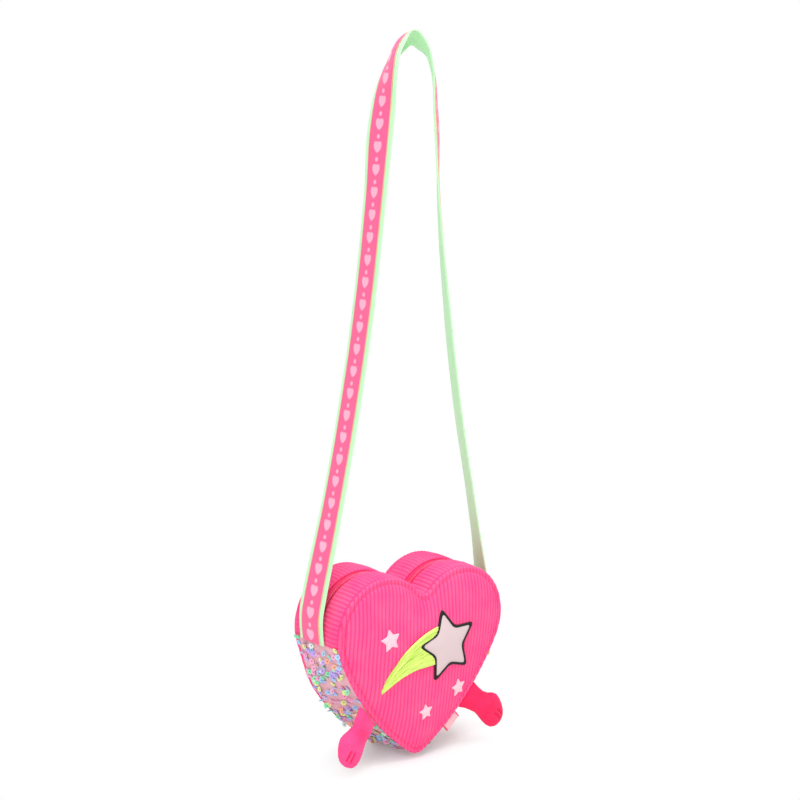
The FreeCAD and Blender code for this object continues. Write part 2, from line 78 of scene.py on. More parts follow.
def heart(run, inset):
    """Points and outward directions on the outline, by run from the cleft (right is positive) and inset."""
    run, inset = np.broadcast_arrays(np.asarray(run, float), np.asarray(inset, float))
    side, rest = np.where(run < 0, -1.0, 1.0), np.abs(run)
    x, z, out_x, out_z = (np.zeros(run.shape) for _ in range(4))
    start = 0.0
    for number, (centre_x, centre_z, radius, first, last) in enumerate(HEART):
        bulge = -1.0 if number == 0 else 1.0
        length = radius * math.radians(abs(last - first))
        on = (rest >= start) & ((rest < start + length) | (number == len(HEART) - 1))
        angle = np.radians(first + (last - first) * (rest[on] - start) / length)
        reach = radius - bulge * inset[on]
        x[on], z[on] = centre_x + reach * np.cos(angle), centre_z + reach * np.sin(angle)
        out_x[on], out_z[on] = bulge * np.cos(angle), bulge * np.sin(angle)
        start += length
    return side * x, z, side * out_x, out_z


def heart_span(x, inset):
    """Lowest and highest point of the heart on an upright line."""
    cleft, lobe, flank, tip = HEART
    x = np.abs(x)
    ring = lambda arc, reach: np.sqrt(np.maximum(reach ** 2 - (x - arc[0]) ** 2, 0))
    lobe_half = ring(lobe, lobe[2] - inset)
    cleft_end = (cleft[2] + inset) * math.cos(math.radians(cleft[4]))
    high = np.where(x < cleft_end, cleft[1] - ring(cleft, cleft[2] + inset), lobe_half)
    tip_end = (tip[2] - inset) * math.cos(math.radians(tip[3]))
    flank_end = flank[0] + (flank[2] - inset) * math.cos(math.radians(flank[3]))
    low = np.where(x < flank_end, flank[1] - ring(flank, flank[2] - inset), -lobe_half)
    low = np.where(x < tip_end, tip[1] - ring(tip, tip[2] - inset), low)
    return low, high


def rib(mm):
    """Height share of a corduroy rib at a distance across the ribs: a round top between narrow furrows."""
    return np.abs(np.sin(np.pi * np.asarray(mm) / WALE)) ** 0.7


outline_x, outline_z, _, _ = heart(np.linspace(-HALF_RUN, HALF_RUN, 900), 0)


def rim_distance(x, z):
    """Distance of points from the heart's outline."""
    return np.array([np.hypot(outline_x - a, outline_z - b).min() for a, b in zip(x, z)])


def swell(x, z):
    """How far points lie from the whole outline at once: nothing at the rim, and smooth over the middle."""
    gaps = (np.maximum(np.hypot(outline_x - a, outline_z - b), 0.2) for a, b in zip(x, z))
    return np.array([np.mean(gap ** -4.0) ** -0.25 for gap in gaps])


SWELL_TOP = swell([0.0], [-25.0])[0]


def crown(x, z):
    """Depth of the padded front under its ribs: a pillow held at its rim, clear of the foam behind it."""
    pillow = FRONT_RIM - PUFF * (swell(x, z) / SWELL_TOP) ** 0.75
    foam = FOAM_TOP + (x ** 2 + (z - FOAM_MIDDLE) ** 2) / FOAM_ROUND
    return np.minimum(pillow, foam - COVER)


def set_points(piece, *places):
    """Moves a piece's points to places given in millimetres from the lobe centres, as columns or rows."""
    points = np.column_stack(places) + HANG
    piece.data.vertices.foreach_set("co", (points / 1000).astype(np.float32).ravel())
    piece.data.update()


def begin(name, primitive, **settings):
    """A new primitive under its name, with nothing else selected."""
    bpy.ops.object.select_all(action="DESELECT")
    primitive(**settings)
    piece = bpy.context.object
    piece.name = piece.data.name = name
    return piece


def cloth_grid(name, columns, rows):
    """A flat cloth of so many columns and rows, with the column and row number of each point."""
    piece = begin(name, bpy.ops.mesh.primitive_grid_add, x_subdivisions=columns, y_subdivisions=rows, size=1)
    number = np.arange(len(piece.data.vertices))
    return piece, number % (columns + 1), number // (columns + 1)


def mark(piece, name, *values):
    """Stores a number or a vector at each point of a piece, for its material to read."""
    kind, field = ("FLOAT_VECTOR", "vector") if len(values) == 3 else ("FLOAT", "value")
    values = np.column_stack(values).astype(np.float32)
    piece.data.attributes.new(name, kind, "POINT").data.foreach_set(field, values.ravel())


def apply(piece, kind, **settings):
    """Adds a modifier to a piece and applies it."""
    bpy.context.view_layer.objects.active = piece
    modifier = piece.modifiers.new(kind.title(), kind)
    for name, value in settings.items():
        setattr(modifier, name, value)
    bpy.ops.object.modifier_apply(modifier=modifier.name)


def choose(*pieces):
    """Selects some pieces alone, with the first one active."""
    bpy.ops.object.select_all(action="DESELECT")
    for piece in pieces:
        piece.select_set(True)
    bpy.context.view_layer.objects.active = pieces[0]


def in_edit(piece, *steps):
    """Runs mesh operators on all of a piece in edit mode."""
    choose(piece)
    bpy.ops.object.mode_set(mode="EDIT")
    bpy.ops.mesh.select_all(action="SELECT")
    for step, settings in steps:
        step(**settings)
    bpy.ops.object.mode_set(mode="OBJECT")


def srgb(code):
    """A hex colour as linear red, green, blue and alpha."""
    parts = [int(code[i:i + 2], 16) / 255 for i in (1, 3, 5)]
    return [c / 12.92 if c <= 0.04045 else ((c + 0.055) / 1.055) ** 2.4 for c in parts] + [1.0]


# A Mix node takes its two colours at inputs 6 and 7 and gives their mix at output 2.
COLOURS = {"out": 2, "data_type": "RGBA"}


def add(tree, kind, inputs=(), out=0, **settings):
    """Adds a node with its settings and gives one of its outputs.

    An input takes a number, a colour in hex or another node's output."""
    made = tree.nodes.new("ShaderNode" + kind)
    for name, value in settings.items():
        setattr(made, name, value)
    for name, value in dict(inputs).items():
        if isinstance(value, bpy.types.NodeSocket):
            tree.links.new(value, made.inputs[name])
        else:
            made.inputs[name].default_value = srgb(value) if isinstance(value, str) else value
    return made.outputs[out] if made.outputs else None


def finish_material(name, **sockets):
    """A material with its shader's plain values set, and its node tree and shader."""
    material = bpy.data.materials.new(name)
    material.use_nodes = True
    shader = material.node_tree.nodes["Principled BSDF"]
    for socket, value in sockets.items():
        value = srgb(value) if isinstance(value, str) else value
        shader.inputs[socket.replace("_", " ")].default_value = value
    return material, material.node_tree, shader


def feed(shader, **sockets):
    """Links outputs to a shader's sockets."""
    for socket, output in sockets.items():
        shader.id_data.links.new(output, shader.inputs[socket.replace("_", " ")])


SAG, SAG_FRONT, SAG_BACK, SAG_TOP, SAG_FULL = 5.0, -20.0, 26.0, -14.0, -55.0
SAG_SLOPE, SAG_SIDE = math.radians(-40), 30.0


def sag(piece):
    """Lets the soft back half of the purse settle outwards over its lower flanks."""
    points = np.array([v.co for v in piece.data.vertices]) * 1000 - HANG
    behind = np.clip((points[:, 1] - SAG_FRONT) / (SAG_BACK - SAG_FRONT), 0, 1)
    low = np.clip((SAG_TOP - points[:, 2]) / (SAG_TOP - SAG_FULL), 0, 1)
    beside = np.clip(np.abs(points[:, 0]) / SAG_SIDE, 0, 1)
    swing = SAG * behind ** 2 * (3 - 2 * behind) * low ** 2 * (3 - 2 * low)
    points[:, 0] += swing * np.sign(points[:, 0]) * beside * math.cos(SAG_SLOPE)
    points[:, 2] += swing * (0.5 + 0.5 * beside) * math.sin(SAG_SLOPE)
    set_points(piece, points)


def settle(piece, material, body="bag", nodes=(), angle=60):
    """Gives a piece its material and slot, smooths it, and sets it on its body in place of CAD nodes."""
    if body == "bag":
        sag(piece)
    choose(piece)
    bpy.ops.object.shade_smooth_by_angle(angle=math.radians(angle))
    if material not in list(piece.data.materials):
        piece.data.materials.append(material)
    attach(piece, body)
    if nodes:
        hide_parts(*nodes)


def corduroy_panel(name, rows, out):
    """A heart of ribbed cloth; out is -1 for the front and 1 for the back."""
    columns = int(2 * (BAG_HALF - PANEL_INSET) / WALE * PER_WALE) // 2 * 2
    piece, column, row = cloth_grid(name, columns, rows)
    x = (column - columns / 2) * WALE / PER_WALE
    low, high = heart_span(x, PANEL_INSET)
    z = low + (high - low) * row / rows
    rim = rim_distance(x, z)
    ease = np.clip((rim - PANEL_INSET) / PANEL_EASE, 0, 1)
    sway = 0.7 * np.sin(z / 17 + 1.3 * np.sin(x / 29)) + 0.35 * np.sin(z / 7.3 + x / 11)
    height = rib(x)
    dip = GROOVE * np.exp(-((rim - STITCH_INSET) / 0.9) ** 2)
    puff = 0.35 * np.sin(x / 23 + 0.6) * np.sin(z / 19)
    base = crown(x, z) if out < 0 else BACK_RIM - BACK_CROWN * ease
    y = -out * (base + dip - puff * ease - WALE_HEIGHT * (height - 0.5))
    set_points(piece, x + sway * ease, y, z)
    mark(piece, "wale", height)
    if out > 0:
        in_edit(piece, (bpy.ops.mesh.flip_normals, {}))
    apply(piece, "SOLIDIFY", thickness=CLOTH, offset=-1)
    return piece


front_panel = corduroy_panel("front_panel_cloth", 72, -1)

# Cotton corduroy: a cut pile with a soft bloom, with a painted highlight on the crest of each rib and a
# painted shade deep in its furrows.
# The pile's own tufts are 0.3 mm; they are drawn at about 1 mm so that they show.
corduroy, tree, shader = finish_material(
    "cotton_corduroy_pink", Roughness=0.85, Specular_IOR_Level=0.2, Sheen_Weight=0.08, Sheen_Roughness=0.45,
    Sheen_Tint="#FFB4D2")
place = add(tree, "TexCoord", out="Object")
height = add(tree, "Attribute", out="Fac", attribute_name="wale")
tufts = add(tree, "TexNoise", {"Vector": place, "Scale": 950.0, "Detail": 3.0})
patches = add(tree, "TexNoise", {"Vector": place, "Scale": 55.0, "Detail": 2.0})
tufts_and_painted_furrow_shade = add(tree, "Math", {0: tufts, 1: 0.35, 2: height}, operation="MULTIPLY_ADD")
# The rib height picks a colour from a painted shade in the furrows to a painted highlight on the crests,
# broken up by the tufts.
tone = add(tree, "ValToRGB", {"Fac": tufts_and_painted_furrow_shade})
ramp = tone.node.color_ramp.elements
ramp[0].position, ramp[0].color = 0.15, srgb("#F2467E")
ramp[1].position, ramp[1].color = 1.0, srgb("#FF6C9B")
ramp.new(0.62).color = srgb("#FD598B")
faded = add(tree, "Mix", {0: patches, 6: tone, 7: "#FF6AA6"}, **COLOURS, blend_type="SOFT_LIGHT")
nap = add(tree, "Bump", {"Height": tufts, "Strength": 0.35, "Distance": 0.0004})
feed(shader, Base_Color=faded, Normal=nap)
settle(front_panel, corduroy, nodes=("front_panel",))

# Back panel: the same corduroy on foam, flatter because the purse lies against the hip.
# It is cut and ribbed as the front is, and its rim is held in the back seam.
back_panel = corduroy_panel("back_panel_cloth", 60, 1)
settle(back_panel, corduroy, nodes=("back_panel",))

# Welts: the panels' own edges rolled over a cord at the seams, so the upright ribs run on over the roll.
# The roll swells and shrinks with the ribs.
WELT_RADIUS, FRONT_WELT_Y, BACK_WELT_Y = 1.85, -28.05, 27.8
WELT_STATIONS, WELT_ROUND = 1040, 16
OUTWARDS = ((bpy.ops.mesh.select_all, {"action": "SELECT"}),
            (bpy.ops.mesh.normals_make_consistent, {"inside": False}))


def close_band(piece):
    """Merges a band's lengthwise seam, closes its ends and turns its faces outwards."""
    in_edit(piece,
            (bpy.ops.mesh.remove_doubles, {"threshold": 1e-6}),
            (bpy.ops.mesh.fill_holes, {"sides": 0}),
            *OUTWARDS)


def welt(name, depth):
    """A rolled edge along the heart's outline."""
    piece, column, row = cloth_grid(name, WELT_STATIONS, WELT_ROUND)
    run = HALF_RUN * (2 * column / WELT_STATIONS - 1)
    turn = 2 * np.pi * row / WELT_ROUND
    x, _, _, _ = heart(run, WELT_RADIUS * (1 - np.cos(turn)))
    height = rib(x)
    reach = WELT_RADIUS - 0.1 + 0.6 * WALE_HEIGHT * (height - 0.6)
    x, z, _, _ = heart(run, WELT_RADIUS - reach * np.cos(turn))
    set_points(piece, x, depth + reach * np.sin(turn), z)
    mark(piece, "wale", height)
    close_band(piece)
    return piece


front_welt = welt("front_welt_roll", FRONT_WELT_Y)
settle(front_welt, corduroy, nodes=("front_welt",))
back_welt = welt("back_welt_roll", BACK_WELT_Y)
settle(back_welt, corduroy, nodes=("back_welt",))

# Topstitching: a lockstitch in deeper pink polyester thread, sunk between each panel and its welt.
# Each stitch is a short plump thread of 3 mm, drawn a little thicker than the real 0.4 mm.
STITCH_PITCH, STITCH_LENGTH, STITCH_WIDTH = 4.2, 3.2, 0.8
STITCH_SINK, BACK_STITCH_Y = 0.4, 28.9


def joined(pieces, name):
    """Some pieces made one, under its name."""
    choose(*pieces)
    bpy.ops.object.join()
    pieces[0].name = pieces[0].data.name = name
    return pieces[0]


def copies(pattern, name, places, values=None):
    """Copies of a modelled piece at each place, each with its own mesh, joined into one piece."""
    made = []
    for number, place in enumerate(places):
        twin = bpy.data.objects.new(name, pattern.data.copy())
        twin.data.transform(place)
        bpy.context.collection.objects.link(twin)
        if values is not None:
            mark(twin, "tint", np.full(len(twin.data.vertices), values[number]))
        made.append(twin)
    return joined(made, name)


def seat(point, along, out):
    """A place in the row frame from a point in millimetres, with X along one direction and Z out."""
    x, z = Vector(along).normalized(), Vector(out).normalized()
    y = z.cross(x).normalized()
    x = y.cross(z)
    turn = Matrix((x, y, z)).transposed().to_4x4()
    return Matrix.Translation(Vector((np.array(point) + HANG) / 1000)) @ turn


stitch = begin("stitch", bpy.ops.mesh.primitive_uv_sphere_add, segments=8, ring_count=5, radius=0.5)
stitch_size = [size / 1000 for size in (STITCH_LENGTH, STITCH_WIDTH, STITCH_WIDTH)]
in_edit(stitch,
        (bpy.ops.transform.rotate, {"value": math.pi / 2, "orient_axis": "Y", "center_override": (0, 0, 0)}),
        (bpy.ops.transform.resize, {"value": stitch_size}))


def stitch_places(inset, depth, out):
    """Places along the heart's outline for a row of stitches."""
    count = int(2 * HALF_RUN / STITCH_PITCH)
    run = np.linspace(-HALF_RUN, HALF_RUN, count, endpoint=False) + STITCH_PITCH / 2
    x, z, out_x, out_z = heart(run, inset)
    spots = zip(x, depth(x, z), z, out_x, out_z)
    return [seat((a, y, b), (-d, 0, c), (0, out, 0)) for a, y, b, c, d in spots]


def two_toned(name, tones, texture, inputs, out=0, **sockets):
    """A material that runs between two tones by a texture, with its tree, shader and texture."""
    material, tree, shader = finish_material(name, **sockets)
    place = add(tree, "TexCoord", out="Object")
    pattern = add(tree, texture, {"Vector": place, **inputs}, out)
    feed(shader, Base_Color=add(tree, "Mix", {0: pattern, 6: tones[0], 7: tones[1]}, **COLOURS))
    return material, tree, shader, pattern


thread, *_ = two_toned(
    "polyester_thread_deep_pink", ("#E01E62", "#F74684"), "TexNoise", {"Scale": 1400.0, "Detail": 1.0},
    Roughness=0.45, IOR=1.55)
front_places = stitch_places(STITCH_INSET, lambda x, z: crown(x, z) + GROOVE - STITCH_SINK, -1)
settle(copies(stitch, "front_topstitch", front_places), thread)
back_places = stitch_places(STITCH_INSET, lambda x, z: np.full(len(x), BACK_STITCH_Y), 1)
settle(copies(stitch, "back_topstitch", back_places), thread)

# Zip strips: two corduroy bands over the lobes, cut so that their ribs run from front to back.
# Each is turned under beside the zip, which leaves a soft rounded lip.
SEAM_RUN, SIDES = 120.0, ((-1, "front"), (1, "rear"))
STRIP_PROFILE = (
    (26.2, 1.9, 0.0), (26.2, 0.9, 0.3), (24.6, 0.2, 1.0), (21.0, -0.2, 1.0), (16.5, -0.4, 1.0),
    (12.0, -0.3, 1.0), (8.6, -0.1, 1.0), (6.6, 0.0, 1.0), (5.7, 0.3, 0.9), (5.1, 0.9, 0.6),
    (4.9, 1.6, 0.2), (5.4, 1.95, 0.0), (12.0, 1.95, 0.0), (26.2, 1.95, 0.0),
)


def zip_strip(name, side):
    """One ribbed band along the zip; side is -1 in front and 1 behind."""
    columns = int(2 * SEAM_RUN / WALE * PER_WALE)
    profile = np.array(STRIP_PROFILE)
    piece, column, row = cloth_grid(name, columns, len(profile))
    run = SEAM_RUN * (2 * column / columns - 1)
    depth, inset, ribbed = profile[row % len(profile)].T
    height = rib(run)
    x, z, _, _ = heart(run, inset - ribbed * WALE_HEIGHT * (height - 0.5))
    set_points(piece, x, side * depth, z)
    # Parts without ribs take a low value, and so the darker painted furrow shade.
    mark(piece, "wale", np.where(ribbed > 0.4, height, 0.2))
    close_band(piece)
    return piece


for side, place_name in SIDES:
    strip = zip_strip(f"zip_strip_{place_name}_cloth", side)
    settle(strip, corduroy, nodes=(f"zip_strip_{place_name}",))
bpy.data.objects.remove(stitch)

# Zip: woven polyester tapes under the strips, with nylon coil teeth sewn to their inner edges.
# A metal slider rides on the coil; two top stops and a bottom stop end its way.
TAPE_COLUMNS = 360
TAPE_PROFILE = (
    (0.1, 3.3), (1.6, 3.3), (2.5, 3.2), (2.9, 2.2), (3.4, 1.75), (4.0, 1.8), (4.6, 2.1), (7.0, 2.1),
    (12.2, 2.1), (12.2, 2.65), (7.0, 2.65), (4.6, 2.65), (3.4, 2.65), (2.9, 3.1), (2.4, 3.55), (1.2, 3.6),
    (0.1, 3.6),
)
tape_cloth, tree, shader = finish_material("polyester_zip_tape", Roughness=0.75, Specular_IOR_Level=0.25)
weave = add(tree, "Attribute", out="Vector", attribute_name="cloth_mm")
twill = add(tree, "TexWave", {"Vector": weave, "Scale": 0.35, "Distortion": 0.4}, out="Fac",
            bands_direction="DIAGONAL")
tone = add(tree, "Mix", {0: twill, 6: "#EA2460", 7: "#FF467E"}, **COLOURS)
ridge = add(tree, "Bump", {"Height": twill, "Strength": 0.4, "Distance": 0.0002})
feed(shader, Base_Color=tone, Normal=ridge)
for side, place_name in SIDES:
    profile = np.array(TAPE_PROFILE)
    tape, column, row = cloth_grid(f"zip_tape_{place_name}_cloth", TAPE_COLUMNS, len(profile))
    run = SEAM_RUN * (2 * column / TAPE_COLUMNS - 1)
    depth, inset = profile[row % len(profile)].T
    x, z, _, _ = heart(run, inset)
    set_points(tape, x, side * depth, z)
    mark(tape, "cloth_mm", run, depth, 0 * run)
    close_band(tape)
    settle(tape, tape_cloth, nodes=(f"zip_tape_{place_name}",))

coil, *_ = two_toned(
    "nylon_zip_coil", ("#FF4F88", "#FF78A6"), "TexNoise", {"Scale": 300.0, "Detail": 2.0},
    Roughness=0.5, IOR=1.53, Specular_IOR_Level=0.3)

# Lacquered zinc: pink enamel over the casting, a little uneven, with a clear gloss.
lacquer, tree, shader, rub = two_toned(
    "lacquered_zinc_pink", ("#F2316F", "#FF5288"), "TexNoise", {"Scale": 420.0, "Detail": 4.0},
    IOR=1.5, Coat_Weight=0.6, Coat_Roughness=0.1)
feed(shader, Roughness=add(tree, "MapRange", {0: rub, "To Min": 0.22, "To Max": 0.45}))


def coat_node(name, material):
    """Gives a CAD node that stays in view its material."""
    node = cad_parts[name]
    node.data.materials.clear()
    node.data.materials.append(material)


for name in ("zip_top_stops", "zip_bottom_stop", "zip_slider", "zip_pull"):
    coat_node(name, lacquer)

# Each turn of the coil lies across the zip as a flat loop with its head over the middle.
# Turns are 2 mm apart.
COIL_PITCH, COIL_INSET, COIL_ASIDE, COIL_FIRST, COIL_LAST = 2.0, 2.2, 0.75, -99.0, 71.0
COIL_TURN = (0.0011, 0.0027, 0.0013)
coil_turn = begin("coil_turn", bpy.ops.mesh.primitive_uv_sphere_add, segments=8, ring_count=6, radius=0.5)
in_edit(coil_turn, (bpy.ops.transform.resize, {"value": COIL_TURN}))
for side, place_name in SIDES:
    runs = np.arange(COIL_FIRST, COIL_LAST, COIL_PITCH) + (side + 1) / 4 * COIL_PITCH
    x, z, out_x, out_z = heart(runs, COIL_INSET)
    turns = [seat((a, side * COIL_ASIDE, b), (-d, 0, c), (c, 0, d)) for a, b, c, d in zip(x, z, out_x, out_z)]
    chain = copies(coil_turn, f"zip_coil_{place_name}", turns)
    settle(chain, coil, nodes=(f"zip_teeth_{place_name}",))
bpy.data.objects.remove(coil_turn)

# Foam and lining: thin polyurethane foam behind each panel, and plain woven polyester inside.
# They are hidden once the purse is sewn, so they keep their CAD shapes.
foam, *_ = two_toned(
    "polyurethane_foam", ("#D8CDB8", "#F4EBD8"), "TexVoronoi", {"Scale": 900.0}, Roughness=0.9)
lining, *_ = two_toned(
    "polyester_lining_pink", ("#F27AA6", "#FF9CC0"), "TexWave", {"Scale": 160.0, "Distortion": 1.0}, "Fac",
    Roughness=0.5, IOR=1.55)
for name in ("front_foam", "back_foam"):
    coat_node(name, foam)
for name in ("front_lining", "back_lining", "side_lining"):
    coat_node(name, lining)

# Lower side band: dusty pink knitted net, seam to seam round the point, a little slack between its seams.
# Cup sequins are sewn to it with a thread through the middle of each.
BAND_START = 120.3
BAND_LENGTH = 2 * (HALF_RUN - BAND_START)
BAND_COLUMNS, BAND_ROWS = 262, 50
BAND_HALF, NET_INSET, NET_BACK = 26.2, 0.7, 1.6


def slack(run, depth):
    """How far the net stands out between its seams."""
    edge = np.clip((BAND_HALF - np.abs(depth)) / 7, 0, 1)
    ripple = np.sin(run / 6.1 + 0.8 * np.sin(depth / 5)) * np.sin(depth / 4.3 + run / 17)
    return edge * (0.5 + 0.45 * (ripple + np.sin(run / 11 + depth / 9)))


def band_run(share):
    """Run along the outline from the right strap seam round the point to the left one."""
    run = BAND_START + share * BAND_LENGTH
    return np.where(run > HALF_RUN, run - 2 * HALF_RUN, run)


band_rows = 2 * BAND_ROWS + 2
band, column, row = cloth_grid("sequin_band_net", BAND_COLUMNS, band_rows)
outside = (row % band_rows) <= BAND_ROWS
step = np.where(outside, row % band_rows, 2 * BAND_ROWS + 1 - row % band_rows)
depth = BAND_HALF * (2 * np.clip(step, 0, BAND_ROWS) / BAND_ROWS - 1)
share = column / BAND_COLUMNS
run = band_run(share)
inset = np.where(outside, NET_INSET - slack(share * BAND_LENGTH, depth), NET_BACK)
x, z, _, _ = heart(run, inset)
set_points(band, x, depth, z)
mark(band, "cloth_mm", share * BAND_LENGTH, depth, 0 * depth)
close_band(band)

# Polyester net: round holes 1.1 mm apart, drawn a little coarser than the real 0.8 mm, duller in the holes.
net, tree, shader = finish_material("polyester_net_dusty_pink", Roughness=0.75, IOR=1.55, Sheen_Weight=0.2)
weave = add(tree, "Attribute", out="Vector", attribute_name="cloth_mm")
holes = add(tree, "TexVoronoi", {"Vector": weave, "Scale": 0.9, "Randomness": 0.25})
patches = add(tree, "TexNoise", {"Vector": weave, "Scale": 0.09, "Detail": 3.0})
tone = add(tree, "ValToRGB", {"Fac": holes})
ramp = tone.node.color_ramp.elements
ramp[0].position, ramp[0].color = 0.12, srgb("#BE8893")
ramp[1].position, ramp[1].color = 0.5, srgb("#EAB8C2")
shaded = add(tree, "Mix", {0: patches, 6: tone, 7: "#E8BAC3"}, **COLOURS, blend_type="SOFT_LIGHT")
knit = add(tree, "Bump", {"Height": holes, "Strength": 0.5, "Distance": 0.0003})
feed(shader, Base_Color=shaded, Normal=knit)
settle(band, net, nodes=("sequin_band",))

# Cup sequins: stamped from pearly plastic film, 4.7 mm across with a hole for the thread.
# They hang loosely from their stitch and tip over the threads that run from front to back.
SEQUIN_RADIUS, SEQUIN_CUP, SEQUIN_HOLE = 2.35, 0.9, 0.15
sequin = begin("sequin", bpy.ops.mesh.primitive_circle_add, vertices=11, radius=SEQUIN_RADIUS / 1000)
stamp = []
for share, drop in ((SEQUIN_CUP / SEQUIN_RADIUS, 0.4), (SEQUIN_HOLE / SEQUIN_CUP, 0.05)):
    stamp += [(bpy.ops.mesh.extrude_edges_move, {}),
              (bpy.ops.transform.resize, {"value": (share, share, 1), "center_override": (0, 0, 0)}),
              (bpy.ops.transform.translate, {"value": (0, 0, -drop / 1000)})]
in_edit(sequin, *stamp, *OUTWARDS)
apply(sequin, "SOLIDIFY", thickness=0.00018, offset=0)
points = np.array([v.co for v in sequin.data.vertices]) * 1000
# Points round the hole are marked for a painted shade.
mark(sequin, "painted_hole_shade", np.where(np.hypot(points[:, 0], points[:, 1]) < 0.5, 1.0, 0.0))

SEQUIN_COLOURS = {
    "mint": "#7DEBAC", "lilac": "#BFA0F2", "sky": "#9CCEFA", "pink": "#FF9ACB",
    "coral": "#FFA37E", "lime": "#E9F77C", "clear": "#DDE6DE",
}
ROWS_ACROSS, ROWS_ALONG, ROW_GAP, ROW_END = 11, 58, 4.9, 2.5
MISSING, FLAT, LEANING, DRIFTING, CORAL = 0.34, 0.72, 0.5, 0.75, 0.08
# Runs and depths left clear of sequins beside the arms, the strap's seams and the point.
ARM_RUN, ARM_CLEAR, ARM_FRONT, POINT_CLEAR = 66.0, 14.0, -16.0, 6.0
STRAP_DEPTH, STRAP_CLEAR, STRAP_BESIDE = 2.8, 3.5, 17.0
sequin_places = {name: [] for name in SEQUIN_COLOURS}
HUES = ("mint", "lilac", "sky", "pink", "lime", "mint", "sky", "lilac", "clear", "pink", "lime")
for number in range(ROWS_ALONG):
    for across in range(ROWS_ACROSS):
        if random.random() < MISSING:
            continue
        run_mm = ROW_END + (BAND_LENGTH - 2 * ROW_END) * number / (ROWS_ALONG - 1) + random.uniform(-2.3, 2.3)
        depth = (across - (ROWS_ACROSS - 1) / 2) * ROW_GAP + random.uniform(-1.8, 1.8)
        a, b, c, d = (float(part) for part in heart(band_run(run_mm / BAND_LENGTH), NET_INSET))
        from_point = abs(run_mm - BAND_LENGTH / 2)
        near_arm = abs(from_point - ARM_RUN) < ARM_CLEAR and depth < ARM_FRONT
        from_seam = min(run_mm, BAND_LENGTH - run_mm)
        near_strap = from_seam < STRAP_CLEAR and abs(depth - STRAP_DEPTH) < STRAP_BESIDE
        if near_arm or near_strap or from_point < POINT_CLEAR:
            continue
        flat = random.random() < FLAT
        tip = random.uniform(-14, 14) if flat else random.choice((-1, 1)) * random.uniform(22, 52)
        yaw = random.gauss(0, 22)
        lean = random.uniform(4, 34) if random.random() < LEANING else 0.0
        tip, yaw, lean = (math.radians(angle) for angle in (tip, yaw, lean))
        raised = 0.8 * SEQUIN_RADIUS * max(abs(math.sin(tip)), math.sin(lean))
        lift = NET_INSET + float(slack(run_mm, depth)) + raised
        place = seat((a + c * lift, depth, b + d * lift), (-d, 0, c), (c, 0, d))
        for angle, axis in ((-lean, "X"), (yaw, "Z"), (tip, "Y")):
            place = place @ Matrix.Rotation(angle, 4, axis)
        hue = math.sin(run_mm / 9.5 + depth / 13) + 0.8 * math.sin(run_mm / 23 - depth / 7)
        hue = (hue + random.gauss(0, 0.75) + 2.4) / 4.8
        drift = int(hue * len(HUES)) % len(HUES)
        pick = HUES[drift] if random.random() < DRIFTING else random.choice(HUES)
        sequin_places["coral" if random.random() < CORAL else pick].append(place)

for name, colour in SEQUIN_COLOURS.items():
    # Pearly film: a glossy face with a thin layer that shifts its tint, and a painted shade in and round the
    # hole.
    film, tree, shader = finish_material(
        f"pearl_film_{name}", Roughness=0.22, IOR=1.5, Coat_Weight=0.5, Coat_Roughness=0.08,
        Thin_Film_Thickness=420.0, Thin_Film_IOR=1.38)
    painted_hole_shade = add(tree, "Attribute", out="Fac", attribute_name="painted_hole_shade")
    tint = add(tree, "Attribute", out="Fac", attribute_name="tint")
    pale = add(tree, "Mix", {0: tint, 6: colour, 7: "#F4F1F2"}, **COLOURS)
    tone = add(tree, "Mix", {0: painted_hole_shade, 6: pale, 7: "#4A4448"}, **COLOURS)
    feed(shader, Base_Color=tone)
    spots = sequin_places[name]
    group = copies(sequin, f"sequins_{name}", spots, [random.uniform(0, 0.18) for _ in spots])
    settle(group, film)
bpy.data.objects.remove(sequin)

# Strap: 30 mm woven webbing in mint, sewn into the seams between the corduroy and the net.
# It stands off the purse above its seams, folds lengthwise at the top and turns edge on down its right side.
STRAP_HALF, STRAP_STEP = 15.0, 1.6
LEFT_LIMB = (
    (-83.1, -7.5, 0.0), (-84.9, 5.0, 0.3), (-85.2, 14.0, 0.5), (-83.6, 25.0, 0.7), (-77.6, 55.5, 2.1),
    (-68.5, 101.0, 5.4), (-56.1, 177.0, 6.0), (-46.6, 253.0, 6.0), (-40.7, 329.0, 5.0),
)
STRAP_TOP = (
    ((-37, -12, 396), (-37, 3, 396), (-36, 18, 396)),
    ((-37, -13, 426), (-33, 2, 429), (-27, 15, 426)),
    ((-32, -10, 439), (-28, 4, 441), (-17, 12, 436)),
    ((-26, -9, 449), (-19, 4, 451), (-10, 11, 443)),
    ((-20, -9, 456), (-12, 3, 452), (-4, 13, 446)),
    ((-12, -10, 451), (-6, 2, 449), (2, 14, 444)),
    ((-3, -10, 435), (5, 3, 435), (15, 14, 436)),
    ((2, -9, 398), (13, 2, 398), (23, 12, 398)),
)
RIGHT_LIMB = (
    (21.0, 329.0, 38.0), (33.8, 252.0, 32.0), (50.2, 171.0, 29.6), (71.6, 87.0, 28.8), (82.6, 42.0, 25.0),
    (86.2, 24.0, 20.0), (86.6, 12.0, 9.0), (84.6, 2.0, 2.0), (83.1, -7.5, 0.0),
)
